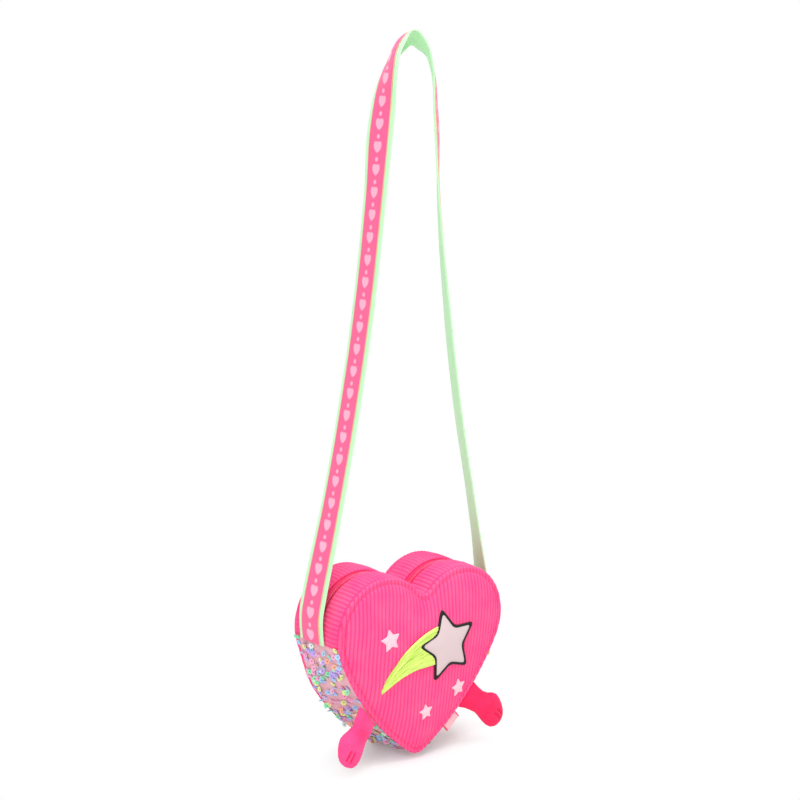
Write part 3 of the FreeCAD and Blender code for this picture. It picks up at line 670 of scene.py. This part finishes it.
# Half of each layer's outer side from its edge inwards, and its inner side: places across and heights.
WEBBING_EDGE = (
    (15.0, 0.7), (14.6, 1.25), (14.0, 1.5), (13.2, 1.45), (12.7, 1.1), (12.2, 1.5), (11.5, 1.5), (11.1, 1.15),
    (6.0, 1.15),
)
WEBBING_INNER = ((14.6, 0.15), (12.0, 0.0), (4.0, 0.0), (-4.0, 0.0), (-12.0, 0.0), (-14.6, 0.15))
RIBBON_EDGE = ((11.0, 1.5), (10.7, 1.85), (9.8, 1.95), (5.0, 1.95))
RIBBON_INNER = ((10.6, 1.25), (0.0, 1.25), (-10.6, 1.25))


def limb(keys):
    """Front edge, middle and back edge of the strap at each x, z and turn."""
    made = []
    for x, z, turn in keys:
        middle = np.array((x, STRAP_DEPTH, z))
        half = STRAP_HALF * np.array((math.sin(math.radians(turn)), math.cos(math.radians(turn)), 0.0))
        made.append((middle - half, middle, middle + half))
    return made


def edge_line(knots):
    """A smooth line through some places, as close points."""
    route = begin("strap_edge", bpy.ops.curve.primitive_bezier_curve_add)
    spline = route.data.splines[0]
    spline.bezier_points.add(len(knots) - 2)
    for knot, place in zip(spline.bezier_points, knots):
        knot.co = place
        knot.handle_left_type = knot.handle_right_type = "AUTO"
    route.data.resolution_u = 30
    bpy.ops.object.convert(target="MESH")
    points = np.array([v.co for v in route.data.vertices])
    bpy.data.objects.remove(route)
    return points


strap_rows = limb(LEFT_LIMB) + list(STRAP_TOP) + limb(RIGHT_LIMB)
strap_edges = [edge_line([row[i] for row in strap_rows]) for i in range(3)]
line_run = np.concatenate(([0], np.cumsum(np.linalg.norm(np.diff(strap_edges[1], axis=0), axis=1))))
STRAP_RUN = line_run[-1]


def on_strap(run, share):
    """Places on the strap's inner side, and the way across it, by run and by share of its half width."""
    front, middle, back = (
        np.column_stack([np.interp(run, line_run, edge[:, i]) for i in range(3)]) for edge in strap_edges)
    share = share[:, None]
    half, fold = (back - front) / 2, (back + front) / 2 - middle
    return middle + share * half + share ** 2 * fold, half + 2 * share * fold


def strap_band(name, edge, inner):
    """A layer of the strap swept along its line, from the profile of its edge and its inner side."""
    columns = int(STRAP_RUN / STRAP_STEP)
    profile = np.array([(-across, height) for across, height in edge] + [(0.0, edge[-1][1])]
                       + list(reversed(edge)) + list(inner))
    piece, column, row = cloth_grid(name, columns, len(profile))
    run = STRAP_RUN * column / columns
    across, height = profile[row % len(profile)].T
    place, aside = on_strap(run, across / STRAP_HALF)
    ahead = on_strap(run + 1, across / STRAP_HALF)[0] - on_strap(run - 1, across / STRAP_HALF)[0]
    out = np.cross(ahead, aside)
    set_points(piece, place + height[:, None] * out / np.linalg.norm(out, axis=1)[:, None])
    mark(piece, "cloth_mm", across, run, height)
    close_band(piece)
    return piece


webbing = strap_band("strap_webbing_band", WEBBING_EDGE, WEBBING_INNER)
# Polyester webbing: a fine twill of mint threads, 0.7 mm apart and drawn at 1 mm.
mint, tree, shader = finish_material("polyester_webbing_mint", Roughness=0.68, IOR=1.55, Sheen_Weight=0.15)
weave = add(tree, "Attribute", out="Vector", attribute_name="cloth_mm")
twill = add(tree, "TexWave", {"Vector": weave, "Scale": 0.3, "Distortion": 0.3}, out="Fac",
            bands_direction="DIAGONAL")
patches = add(tree, "TexNoise", {"Vector": weave, "Scale": 0.12, "Detail": 3.0})
tone = add(tree, "Mix", {0: twill, 6: "#A9E0A9", 7: "#C9F3C7"}, **COLOURS)
shaded = add(tree, "Mix", {0: patches, 6: tone, 7: "#D2F6CE"}, **COLOURS, blend_type="SOFT_LIGHT")
ridge = add(tree, "Bump", {"Height": twill, "Strength": 0.35, "Distance": 0.0002})
feed(shader, Base_Color=shaded, Normal=ridge)
settle(webbing, mint, body="strap", nodes=("strap_webbing",), angle=40)

# Strap ribbon: a jacquard ribbon 22 mm wide sewn on the webbing's outer side.
# Pale pink hearts and dots are woven into its pink ground, between two peach edge threads.
MOTIF_PITCH, HEART_HALF, HEART_SPREAD, DOT_RADIUS = 17.0, 4.6, 1.15, 1.7
HEART_AT, DOT_AT, RIBBON_HEM = 0.32, 0.82, 10.5
ribbon = strap_band("strap_ribbon_band", RIBBON_EDGE, RIBBON_INNER)
jacquard, tree, shader = finish_material("jacquard_ribbon_pink", Roughness=0.55, IOR=1.55, Sheen_Weight=0.1)
weave = add(tree, "Attribute", out="Vector", attribute_name="cloth_mm")
axes = add(tree, "SeparateXYZ", {0: weave}).node.outputs
sums = {"across": axes[0], "along": axes[1]}
for name, operation, one, other in (
        ("repeat", "FLOORED_MODULO", "along", MOTIF_PITCH),
        ("rise", "SUBTRACT", "repeat", HEART_AT * MOTIF_PITCH),
        ("fall", "SUBTRACT", "repeat", DOT_AT * MOTIF_PITCH),
        ("u", "DIVIDE", "across", HEART_HALF / HEART_SPREAD),
        ("v", "DIVIDE", "rise", HEART_HALF / HEART_SPREAD),
        ("uu", "MULTIPLY", "u", "u"),
        ("vv", "MULTIPLY", "v", "v"),
        ("circle", "ADD", "uu", "vv"),
        ("ring", "SUBTRACT", "circle", 1.0),
        ("cube", "POWER", "ring", 3.0),
        ("square", "MULTIPLY", "uu", "vv"),
        ("lobes", "MULTIPLY", "square", "v"),
        ("heart", "LESS_THAN", "cube", "lobes"),
        ("aside", "MULTIPLY", "across", "across"),
        ("ahead", "MULTIPLY", "fall", "fall"),
        ("far", "ADD", "aside", "ahead"),
        ("dot", "LESS_THAN", "far", DOT_RADIUS ** 2),
        ("motif", "MAXIMUM", "heart", "dot"),
        ("edge", "ABSOLUTE", "across", 0.0),
        ("hem", "GREATER_THAN", "edge", RIBBON_HEM)):
    sums[name] = add(tree, "Math", {0: sums[one], 1: sums.get(other, other)}, operation=operation)
twill = add(tree, "TexWave", {"Vector": weave, "Scale": 0.32, "Distortion": 0.3}, out="Fac",
            bands_direction="DIAGONAL")
ground = add(tree, "Mix", {0: twill, 6: "#F74583", 7: "#FF6CA0"}, **COLOURS)
woven = add(tree, "Mix", {0: sums["motif"], 6: ground, 7: "#FFAFCB"}, **COLOURS)
edged = add(tree, "Mix", {0: sums["hem"], 6: woven, 7: "#FFB48C"}, **COLOURS)
ridge = add(tree, "Bump", {"Height": twill, "Strength": 0.35, "Distance": 0.0002})
feed(shader, Base_Color=edged, Normal=ridge)
settle(ribbon, jacquard, body="strap", nodes=("strap_ribbon",), angle=40)

# Stuffed arms: plush mittens sewn into the front seam, round in the hand and flat where they are caught.
# Each has a knuckle on its upper side and two short rows of stitches that draw in the fingers.
ARM_ANGLE, ARM_GAP = math.radians(-39.7), 0.9
ARM_ROOT = (FLANK_X + (FLANK_RADIUS + ARM_GAP) * math.cos(ARM_ANGLE),
            FLANK_Z + (FLANK_RADIUS + ARM_GAP) * math.sin(ARM_ANGLE))
ARM_DEPTH, ARM_TUCK = -27.25, 1.0
ARM_LENGTH = 44.0
ARM_SECTIONS = np.array((
    (0.00, 10.4, 14.2, 0.8), (0.06, 9.9, 13.4, 2.4), (0.16, 9.1, 11.4, 4.6), (0.30, 8.8, 9.9, 5.2),
    (0.42, 10.4, 9.0, 5.6), (0.52, 13.2, 9.3, 6.0), (0.60, 14.4, 9.9, 6.3), (0.70, 13.8, 10.4, 6.3),
    (0.80, 12.0, 10.4, 6.0), (0.89, 9.8, 9.3, 5.2), (0.95, 7.2, 7.2, 4.1), (0.985, 4.2, 4.4, 2.6),
    (1.00, 0.0, 0.0, 0.0),
))
ARM_RINGS, ARM_ROUND = 84, 80
FINGER_LINES, FINGER_START, FINGER_END = (4.4, 0.5), 30.0, 40.5


def stuffed_arm(name, side, length, droop, bow, forward):
    """A stuffed arm; side is 1 on the right, droop turns it down, bow curves it, forward brings it out."""
    piece = begin(name, bpy.ops.mesh.primitive_uv_sphere_add,
                  segments=ARM_ROUND, ring_count=ARM_RINGS, radius=1)
    ball = np.array([v.co for v in piece.data.vertices])
    share = (np.arccos(np.clip(ball[:, 2], -1, 1)) / math.pi) ** 0.8
    around = np.arctan2(ball[:, 1], ball[:, 0])
    above, below, thick = (np.interp(share, ARM_SECTIONS[:, 0], ARM_SECTIONS[:, i]) for i in (1, 2, 3))
    above, below, thick = (np.where(ball[:, 2] > 0.9999, 0, part) for part in (above, below, thick))
    wide = np.where(np.cos(around) > 0, above, below) * np.cos(around)
    drawn = sum(np.exp(-((wide - line) / 0.8) ** 2) for line in FINGER_LINES)
    reach = share * ARM_LENGTH
    drawn = drawn * np.clip((reach - FINGER_START) / 2, 0, 1) * np.clip(FINGER_END - reach, 0, 1)
    flat = np.where(np.sin(around) > 0, 0.45 + 0.55 * np.clip(share / 0.4, 0, 1), 1.0)
    deep = thick * flat * np.sin(around) * (1 - 0.3 * drawn)
    arm_turn = ARM_ANGLE - math.radians(droop)
    turn = ARM_ANGLE + (arm_turn - ARM_ANGLE) * np.clip(share / 0.3, 0, 1)
    bend = bow * np.sin(np.pi * np.clip(share, 0, 1))
    along = (length + ARM_TUCK) * share - ARM_TUCK
    x = ARM_ROOT[0] + along * math.cos(arm_turn) - (wide + bend) * np.sin(turn)
    z = ARM_ROOT[1] + along * math.sin(arm_turn) + (wide + bend) * np.cos(turn)
    y = ARM_DEPTH - forward * np.clip(share / 0.3, 0, 1) ** 2 + deep
    set_points(piece, side * x, y, z)
    mark(piece, "drawn", drawn)
    # Painted light: the left arm is marked to be painted lighter than the right, as if lit, with a painted
    # shade in its crook; the nap value carries this.
    crook_shade = np.exp(-((share - 0.34) / 0.17) ** 2 - ((wide - 3) / 9) ** 2)
    mark(piece, "nap", (1 - 0.5 * crook_shade) * (side < 0))
    in_edit(piece, *OUTWARDS)
    return piece


plush, tree, shader = finish_material(
    "velour_plush_pink", Roughness=0.9, IOR=1.47, Sheen_Weight=0.35, Sheen_Roughness=0.35,
    Sheen_Tint="#FF9CC4")
place = add(tree, "TexCoord", out="Object")
pile = add(tree, "TexNoise", {"Vector": place, "Scale": 1300.0, "Detail": 2.0})
brushed = add(tree, "TexNoise", {"Vector": place, "Scale": 110.0, "Detail": 3.0})
# Two copies of the plush colour, a shaded one and a lit one, mixed by the painted light that the nap value
# carries.
tone = add(tree, "Mix", {0: brushed, 6: "#EE1252", 7: "#FF3A76"}, **COLOURS)
lit = add(tree, "Mix", {0: brushed, 6: "#FA4C8A", 7: "#FF68A6"}, **COLOURS)
painted_light_share = add(tree, "Attribute", out="Fac", attribute_name="nap")
painted_light = add(tree, "Mix", {0: painted_light_share, 6: tone, 7: lit}, **COLOURS)
fleck = add(tree, "Mix", {0: pile, 6: painted_light, 7: "#FF4E8A"}, **COLOURS, blend_type="SOFT_LIGHT")
# The finger lines are darkened with a painted shade.
drawn = add(tree, "Attribute", out="Fac", attribute_name="drawn")
shadowed = add(tree, "Mix", {0: drawn, 6: fleck, 7: "#E3124F"}, **COLOURS)
nap = add(tree, "Bump", {"Height": pile, "Strength": 0.45, "Distance": 0.0004})
feed(shader, Base_Color=shadowed, Normal=nap)
# Side, length, droop, bow and forward lean of each arm as it hangs.
ARMS = {"left_arm": (-1, 43.0, 20, 2.0, 3.6), "right_arm": (1, 46.5, 0, 0.5, 1.2)}
for name, hang in ARMS.items():
    arm = stuffed_arm(f"{name}_plush", *hang)
    settle(arm, plush, body=name, nodes=(name,))

# Side tab: a short pale pink satin ribbon with a coral thread along each edge.
# It is folded into a loop, and both ends are caught in the right front seam.
TAB_ANGLE, TAB_LENGTH, TAB_REACH, TAB_FOLD, TAB_GAP = math.radians(-47.0), 16.0, 7.0, 0.55, 0.35
TAB_ROWS, TAB_COLUMNS = 18, 16
tab, column, row = cloth_grid("side_tab_loop", TAB_COLUMNS, TAB_ROWS)
along = TAB_LENGTH * (column / TAB_COLUMNS - 0.5)
third = TAB_ROWS / 3
bend = np.clip((row - third) / third, 0, 1) * math.pi
straight = TAB_REACH - TAB_FOLD
leg = np.clip(np.minimum(row, TAB_ROWS - row) / third, 0, 1)
reach = straight * leg + TAB_FOLD * np.sin(bend)
ripple = 0.25 * np.sin(along / 2.6) * leg
depth = ARM_DEPTH - TAB_FOLD * np.cos(bend) + ripple
reach_out = FLANK_RADIUS + TAB_GAP + reach
x = FLANK_X + reach_out * math.cos(TAB_ANGLE) - along * math.sin(TAB_ANGLE)
z = FLANK_Z + reach_out * math.sin(TAB_ANGLE) + along * math.cos(TAB_ANGLE)
set_points(tab, x, depth, z)
mark(tab, "cloth_mm", along, reach, 0 * reach)
apply(tab, "SOLIDIFY", thickness=0.0004, offset=0)
# Satin ribbon: slightly slubbed, with a soft gloss across the fold.
satin, tree, shader = finish_material("satin_ribbon_pale_pink", Roughness=0.35, IOR=1.55, Anisotropic=0.5)
weave = add(tree, "Attribute", out="Vector", attribute_name="cloth_mm")
axes = add(tree, "SeparateXYZ", {0: weave}).node.outputs
edge = add(tree, "Math", {0: axes[0]}, operation="ABSOLUTE")
edge = add(tree, "Math", {0: edge, 1: TAB_LENGTH / 2 - 1.1}, operation="GREATER_THAN")
slub = add(tree, "TexNoise", {"Vector": weave, "Scale": 1.1, "Detail": 2.0})
tone = add(tree, "Mix", {0: slub, 6: "#F3A5B2", 7: "#FBC9CC"}, **COLOURS)
edged = add(tree, "Mix", {0: edge, 6: tone, 7: "#F5405A"}, **COLOURS)
feed(shader, Base_Color=edged)
settle(tab, satin, nodes=("side_tab",))

# Applique star: a white satin patch laid on the padded front and sewn down round its rim.
# Dense satin stitches in black thread cover the rim.
STAR_X, STAR_Z, STAR_RADIUS, STAR_WAIST, STAR_TURN = 20.0, -16.0, 31.0, 0.52, 12.0
STAR_STEPS, STAR_ROUNDING = 600, 13


def star_shape():
    """Outline of a star of radius 1 with its corners rounded, as evenly spaced points."""
    turns = np.radians(90 + STAR_TURN + 36 * np.arange(11))
    reach = np.where(np.arange(11) % 2 == 0, 1.0, STAR_WAIST)
    step = np.linspace(0, 10, STAR_STEPS, endpoint=False)
    corners = np.column_stack((reach * np.cos(turns), reach * np.sin(turns)))
    edge = np.column_stack([np.interp(step, np.arange(11), corners[:, i]) for i in (0, 1)])
    window = np.arange(STAR_STEPS)[:, None] + np.arange(-STAR_ROUNDING, STAR_ROUNDING + 1)
    return edge[window % STAR_STEPS].mean(axis=1)


def lay_on_front(piece, x, z, height):
    """Sets a flat motif on the padded front, so far out of the cloth."""
    set_points(piece, x, crown(x, z) - 0.4 * WALE_HEIGHT - height, z)


def star_piece(name, x, z, radius, profile, ridge):
    """A star swept from a profile of scales and heights; ridge lifts every stitch of it."""
    profile = np.array(profile)
    piece, column, row = cloth_grid(name, STAR_STEPS, len(profile) - 1)
    outline = star_shape()[column % STAR_STEPS] * radius
    scale, height = profile[row].T
    stitch = 0.5 + 0.5 * np.cos(2 * np.pi * column / 3)
    height = height * (1 + ridge * stitch * (scale > 0.8))
    lay_on_front(piece, x + outline[:, 0] * scale, z + outline[:, 1] * scale, height)
    # The stitch share is kept as the tint value; the border's thread reads it for a painted highlight and
    # shade.
    mark(piece, "tint", stitch)
    close_band(piece)
    return piece


# Scales of the star's outline and heights in millimetres, from the rim inwards.
BORDER = (
    (1.0, 0.0), (1.0, 0.6), (0.985, 1.05), (0.95, 1.3), (0.91, 1.3), (0.875, 1.05), (0.86, 0.6), (0.86, 0.0),
    (1.0, 0.0),
)
PATCH = (
    (0.9, 0.0), (0.9, 0.4), (0.88, 0.75), (0.8, 1.0), (0.66, 1.2), (0.5, 1.35), (0.33, 1.45), (0.16, 1.5),
    (0.0, 1.5),
)

# Polyester satin: long floats give a silky, slightly streaky white, painted with a shade that runs from a
# cool grey above to a pinker white below.
white_satin, tree, shader = finish_material(
    "polyester_satin_white", Roughness=0.42, IOR=1.55, Sheen_Weight=0.1)
place = add(tree, "TexCoord", out="Object")
centre = (-(STAR_X + HANG[0]) / 1000, 0.0, -(STAR_Z + HANG[2]) / 1000)
turned = add(tree, "Mapping", {"Vector": place, "Location": centre, "Scale": (16.0, 16.0, 16.0)})
axes = add(tree, "SeparateXYZ", {0: turned}).node.outputs
# A diagonal across the star carries the painted shade, from grey above to pink below, with its edge made
# ragged by the floats.
slope = add(tree, "Math", {0: axes[0], 1: axes[2]}, operation="SUBTRACT")
streak = add(tree, "Mapping", {"Vector": place, "Scale": (1800.0, 1800.0, 160.0)})
floats = add(tree, "TexNoise", {"Vector": streak, "Scale": 1.0, "Detail": 2.0})
ragged = add(tree, "Math", {0: floats, 1: 0.5, 2: slope}, operation="MULTIPLY_ADD")
painted_side_shade = add(tree, "MapRange", {0: ragged, 1: 0.1, 2: 0.5})
tone = add(tree, "Mix", {0: painted_side_shade, 6: "#C6C4BD", 7: "#D8C2C3"}, **COLOURS)
silk = add(tree, "Bump", {"Height": floats, "Strength": 0.3, "Distance": 0.0002})
feed(shader, Base_Color=tone, Normal=silk)
star = star_piece("star_patch_satin", STAR_X, STAR_Z, STAR_RADIUS, PATCH, 0)
settle(star, white_satin, nodes=("star_patch",))

# Embroidery thread: glossy black rayon laid side by side across the rim, 0.4 mm threads drawn at 1 mm.
rayon, tree, shader = finish_material(
    "rayon_thread_black", Roughness=0.55, IOR=1.52, Specular_IOR_Level=0.3)
# Each stitch gets a painted highlight on its ridge and a painted shade in the dips beside it.
painted_light = add(tree, "Attribute", out="Fac", attribute_name="tint")
tone = add(tree, "Mix", {0: painted_light, 6: "#09080A", 7: "#1A191B"}, **COLOURS)
feed(shader, Base_Color=tone)
border = star_piece("star_border_stitching", STAR_X, STAR_Z, STAR_RADIUS, BORDER, 0.12)
settle(border, rayon, nodes=("star_border",))

# Tail: a swept bunch of lime acrylic fringe threads caught under the star, thinning out to its end.
# Each thread is a thin tube with a length, a lift and a wave of its own.
TAIL_TURN, TAIL_LENGTH, TAIL_WIDTH, TAIL_END, TAIL_BOW = math.radians(205.0), 70.0, 40.0, 1.5, 10.0
STRANDS, STRAND_STEPS, STRAND_ROUND, STRAND_RADIUS = 190, 8, 5, 0.42
tail_dir = np.array((math.cos(TAIL_TURN), math.sin(TAIL_TURN)))
tail_up = np.array((math.sin(TAIL_TURN), -math.cos(TAIL_TURN)))


def tail_point(share, aside):
    """A point in the tail at a share of its length and a share of its half width."""
    root = np.array((STAR_X, STAR_Z)) + tail_up * aside * TAIL_WIDTH / 2
    end = np.array((STAR_X, STAR_Z)) + tail_dir * TAIL_LENGTH + tail_up * aside * TAIL_END
    share = np.asarray(share)[..., None]
    return root * (1 - share) + end * share + tail_up * 4 * share * (1 - share) * TAIL_BOW


star_edge = star_shape() * STAR_RADIUS
star_turns = np.arctan2(star_edge[:, 1], star_edge[:, 0])
star_reach = np.linalg.norm(star_edge, axis=1)


def leaves_star(aside):
    """Share of the tail's length at which a strand comes out from under the star."""
    share = np.linspace(0, 0.7, 140)
    reach = tail_point(share, aside) - np.array((STAR_X, STAR_Z))
    turn = np.arctan2(reach[:, 1], reach[:, 0])
    edge = np.interp(turn, star_turns, star_reach, period=2 * np.pi)
    return share[np.flatnonzero(np.linalg.norm(reach, axis=1) < 0.95 * edge).max()]


strands = []
for number in range(STRANDS):
    strand, column, row = cloth_grid(f"strand_{number}", STRAND_STEPS, STRAND_ROUND)
    aside = random.uniform(-0.92, 0.92)
    first = leaves_star(aside)
    last = random.uniform(0.7, 1.0) if random.random() < 0.6 else random.uniform(0.5, 0.75)
    share = first + (last - first) * column / STRAND_STEPS
    middle = tail_point(share, aside)
    ahead = tail_point(share + 0.01, aside) - middle
    ahead = ahead / np.linalg.norm(ahead, axis=1)[:, None]
    turn = 2 * np.pi * row / STRAND_ROUND
    thin = STRAND_RADIUS * np.where(column == STRAND_STEPS, 0.5, 1.0)
    rise = np.interp(column / STRAND_STEPS, (0, 0.3, 0.6, 1), (0.3, 0.9, 1.0, 0.3))
    lift = random.uniform(0.8, 1.7) * rise + 0.3 * thin
    wave = random.uniform(-0.8, 0.8) * np.sin(column * random.uniform(0.5, 1.1) + number)
    x = middle[:, 0] + ahead[:, 1] * (thin * np.cos(turn) + wave)
    z = middle[:, 1] - ahead[:, 0] * (thin * np.cos(turn) + wave)
    lay_on_front(strand, x, z, lift + thin * np.sin(turn))
    mark(strand, "tint", np.full(len(x), random.random()))
    strands.append(strand)
tail = joined(strands, "star_tail_fringe")
close_band(tail)
# Lime acrylic fringe: each thread takes the dye a little differently.
lime, tree, shader = finish_material("acrylic_fringe_lime", Roughness=0.6, IOR=1.5, Sheen_Weight=0.2)
tint = add(tree, "Attribute", out="Fac", attribute_name="tint")
tone = add(tree, "Mix", {0: tint, 6: "#B9DC4C", 7: "#E6FA86"}, **COLOURS)
feed(shader, Base_Color=tone)
settle(tail, lime, nodes=("star_tail",), angle=70)

# Small stars: three pale pink satin stars with a raised edge.
# They are swept as the large star is, and sewn to the front round it.
pale_satin, tree, shader = finish_material(
    "polyester_satin_pale_pink", Roughness=0.4, IOR=1.55, Sheen_Weight=0.1)
place = add(tree, "TexCoord", out="Object")
streak = add(tree, "Mapping", {"Vector": place, "Scale": (1500.0, 1500.0, 200.0)})
floats = add(tree, "TexNoise", {"Vector": streak, "Scale": 1.0, "Detail": 2.0})
tone = add(tree, "Mix", {0: floats, 6: "#F3B9CB", 7: "#FBDDE4"}, **COLOURS)
silk = add(tree, "Bump", {"Height": floats, "Strength": 0.3, "Distance": 0.0002})
feed(shader, Base_Color=tone, Normal=silk)
SMALL_STAR = (
    (1.0, 0.0), (1.0, 0.5), (0.95, 0.85), (0.86, 0.95), (0.8, 0.7), (0.7, 0.85), (0.5, 1.1), (0.25, 1.25),
    (0.0, 1.3),
)
SMALL_STARS = ((-38.0, -4.0, 9.5), (36.0, -54.0, 8.0), (2.0, -68.0, 7.0))
small = [star_piece(f"small_star_{i}", *spot, SMALL_STAR, 0.1) for i, spot in enumerate(SMALL_STARS)]
settle(joined(small, "small_stars_satin"), pale_satin, nodes=("small_stars",))

# Floor, light and camera: a pale seamless floor under large soft lamps, seen from the front left.
# The floor takes a shadow under the purse's point and is plain white beyond it.
FLOOR_Z = -0.5607


def seen_by(tree):
    """1 where a surface is seen by the camera, in a reflection or through glass."""
    ray = add(tree, "LightPath").node.outputs
    plain = add(tree, "Math", {0: ray["Is Camera Ray"], 1: ray["Is Glossy Ray"]}, operation="MAXIMUM")
    return add(tree, "Math", {0: plain, 1: ray["Is Transmission Ray"]}, operation="MAXIMUM")


floor = begin("floor", bpy.ops.mesh.primitive_plane_add, size=6, location=(0, 0, FLOOR_Z))
paper, tree, _ = finish_material("white_paper")
tree.nodes.clear()
matt = add(tree, "BsdfDiffuse", {"Color": "#E7E7E7"})
glow = add(tree, "Emission", {"Color": "#FFFFFF", "Strength": 0.15})
near = add(tree, "AddShader", {0: matt, 1: glow})
beyond = add(tree, "Emission", {"Color": "#FFFFFF", "Strength": 1.0})
spread = add(tree, "TexCoord", out="Object")
# The shadow's ellipse: its place and size in metres, and its turn.
shade = {"Location": (0.045, 0.008, 0), "Rotation": (0, 0, 0.34), "Scale": (0.135, 0.055, 1)}
patch = add(tree, "Mapping", {"Vector": spread, **shade}, vector_type="TEXTURE")
reach = add(tree, "VectorMath", {0: patch}, out="Value", operation="LENGTH")
fade = add(tree, "MapRange", {0: reach, 1: 0.35, 2: 1.0}, interpolation_type="SMOOTHSTEP")
lit = add(tree, "MixShader", {0: fade, 1: near, 2: beyond})
dull = add(tree, "BsdfDiffuse", {"Color": "#E7E7E7"})
both = add(tree, "MixShader", {0: seen_by(tree), 1: dull, 2: lit})
add(tree, "OutputMaterial", {0: both})
floor.data.materials.append(paper)

world = bpy.data.worlds.new("studio")
bpy.context.scene.world = world
world.use_nodes = True
tree = world.node_tree
tree.nodes.clear()
room = add(tree, "Background", {"Color": "#FFFFFF", "Strength": 0.5})
sky = add(tree, "Background", {"Color": "#FFFFFF", "Strength": 1.0})
both = add(tree, "MixShader", {0: seen_by(tree), 1: room, 2: sky})
add(tree, "OutputWorld", {0: both})

LAMP_AIM = Vector((0.012, 0, -0.45))
for name, place, size, power in (
        ("key_lamp", (-1.25, -1.05, 0.5), 1.1, 15.5), ("top_lamp", (0.14, -0.22, 1.65), 1.5, 32.6),
        ("side_lamp", (0.9, -1.3, 0.5), 1.0, 4.5), ("rear_lamp", (0.2, 1.4, 0.3), 1.2, 3.0)):
    bpy.ops.object.light_add(type="AREA", location=place)
    lamp = bpy.context.object
    lamp.name = name
    lamp.data.shape, lamp.data.size, lamp.data.energy = "DISK", size, power
    lamp.rotation_euler = (LAMP_AIM - Vector(place)).to_track_quat("-Z", "Y").to_euler()

CAMERA_RANGE, CAMERA_AIM = 1.4, (0, 0.0015, 0.0009)
AZIMUTH, RISE, ROLL, PAN, TILT = (math.radians(a) for a in (40.0, 15.65, 2.63, -0.288, 7.043))
away = Vector((-math.sin(AZIMUTH) * math.cos(RISE), -math.cos(AZIMUTH) * math.cos(RISE), math.sin(RISE)))
turn = Matrix.Rotation(-AZIMUTH - PAN, 4, "Z") @ Matrix.Rotation(math.pi / 2 - RISE + TILT, 4, "X")
bpy.ops.object.camera_add()
camera = bpy.context.object
camera.data.lens, camera.data.sensor_width = 78.66, 36.0
stand = Vector(HANG / 1000) + Vector(CAMERA_AIM) + CAMERA_RANGE * away
camera.matrix_world = Matrix.Translation(stand) @ turn @ Matrix.Rotation(ROLL, 4, "Z")
bpy.context.scene.camera = camera
bpy.context.scene.view_settings.view_transform = "Standard"
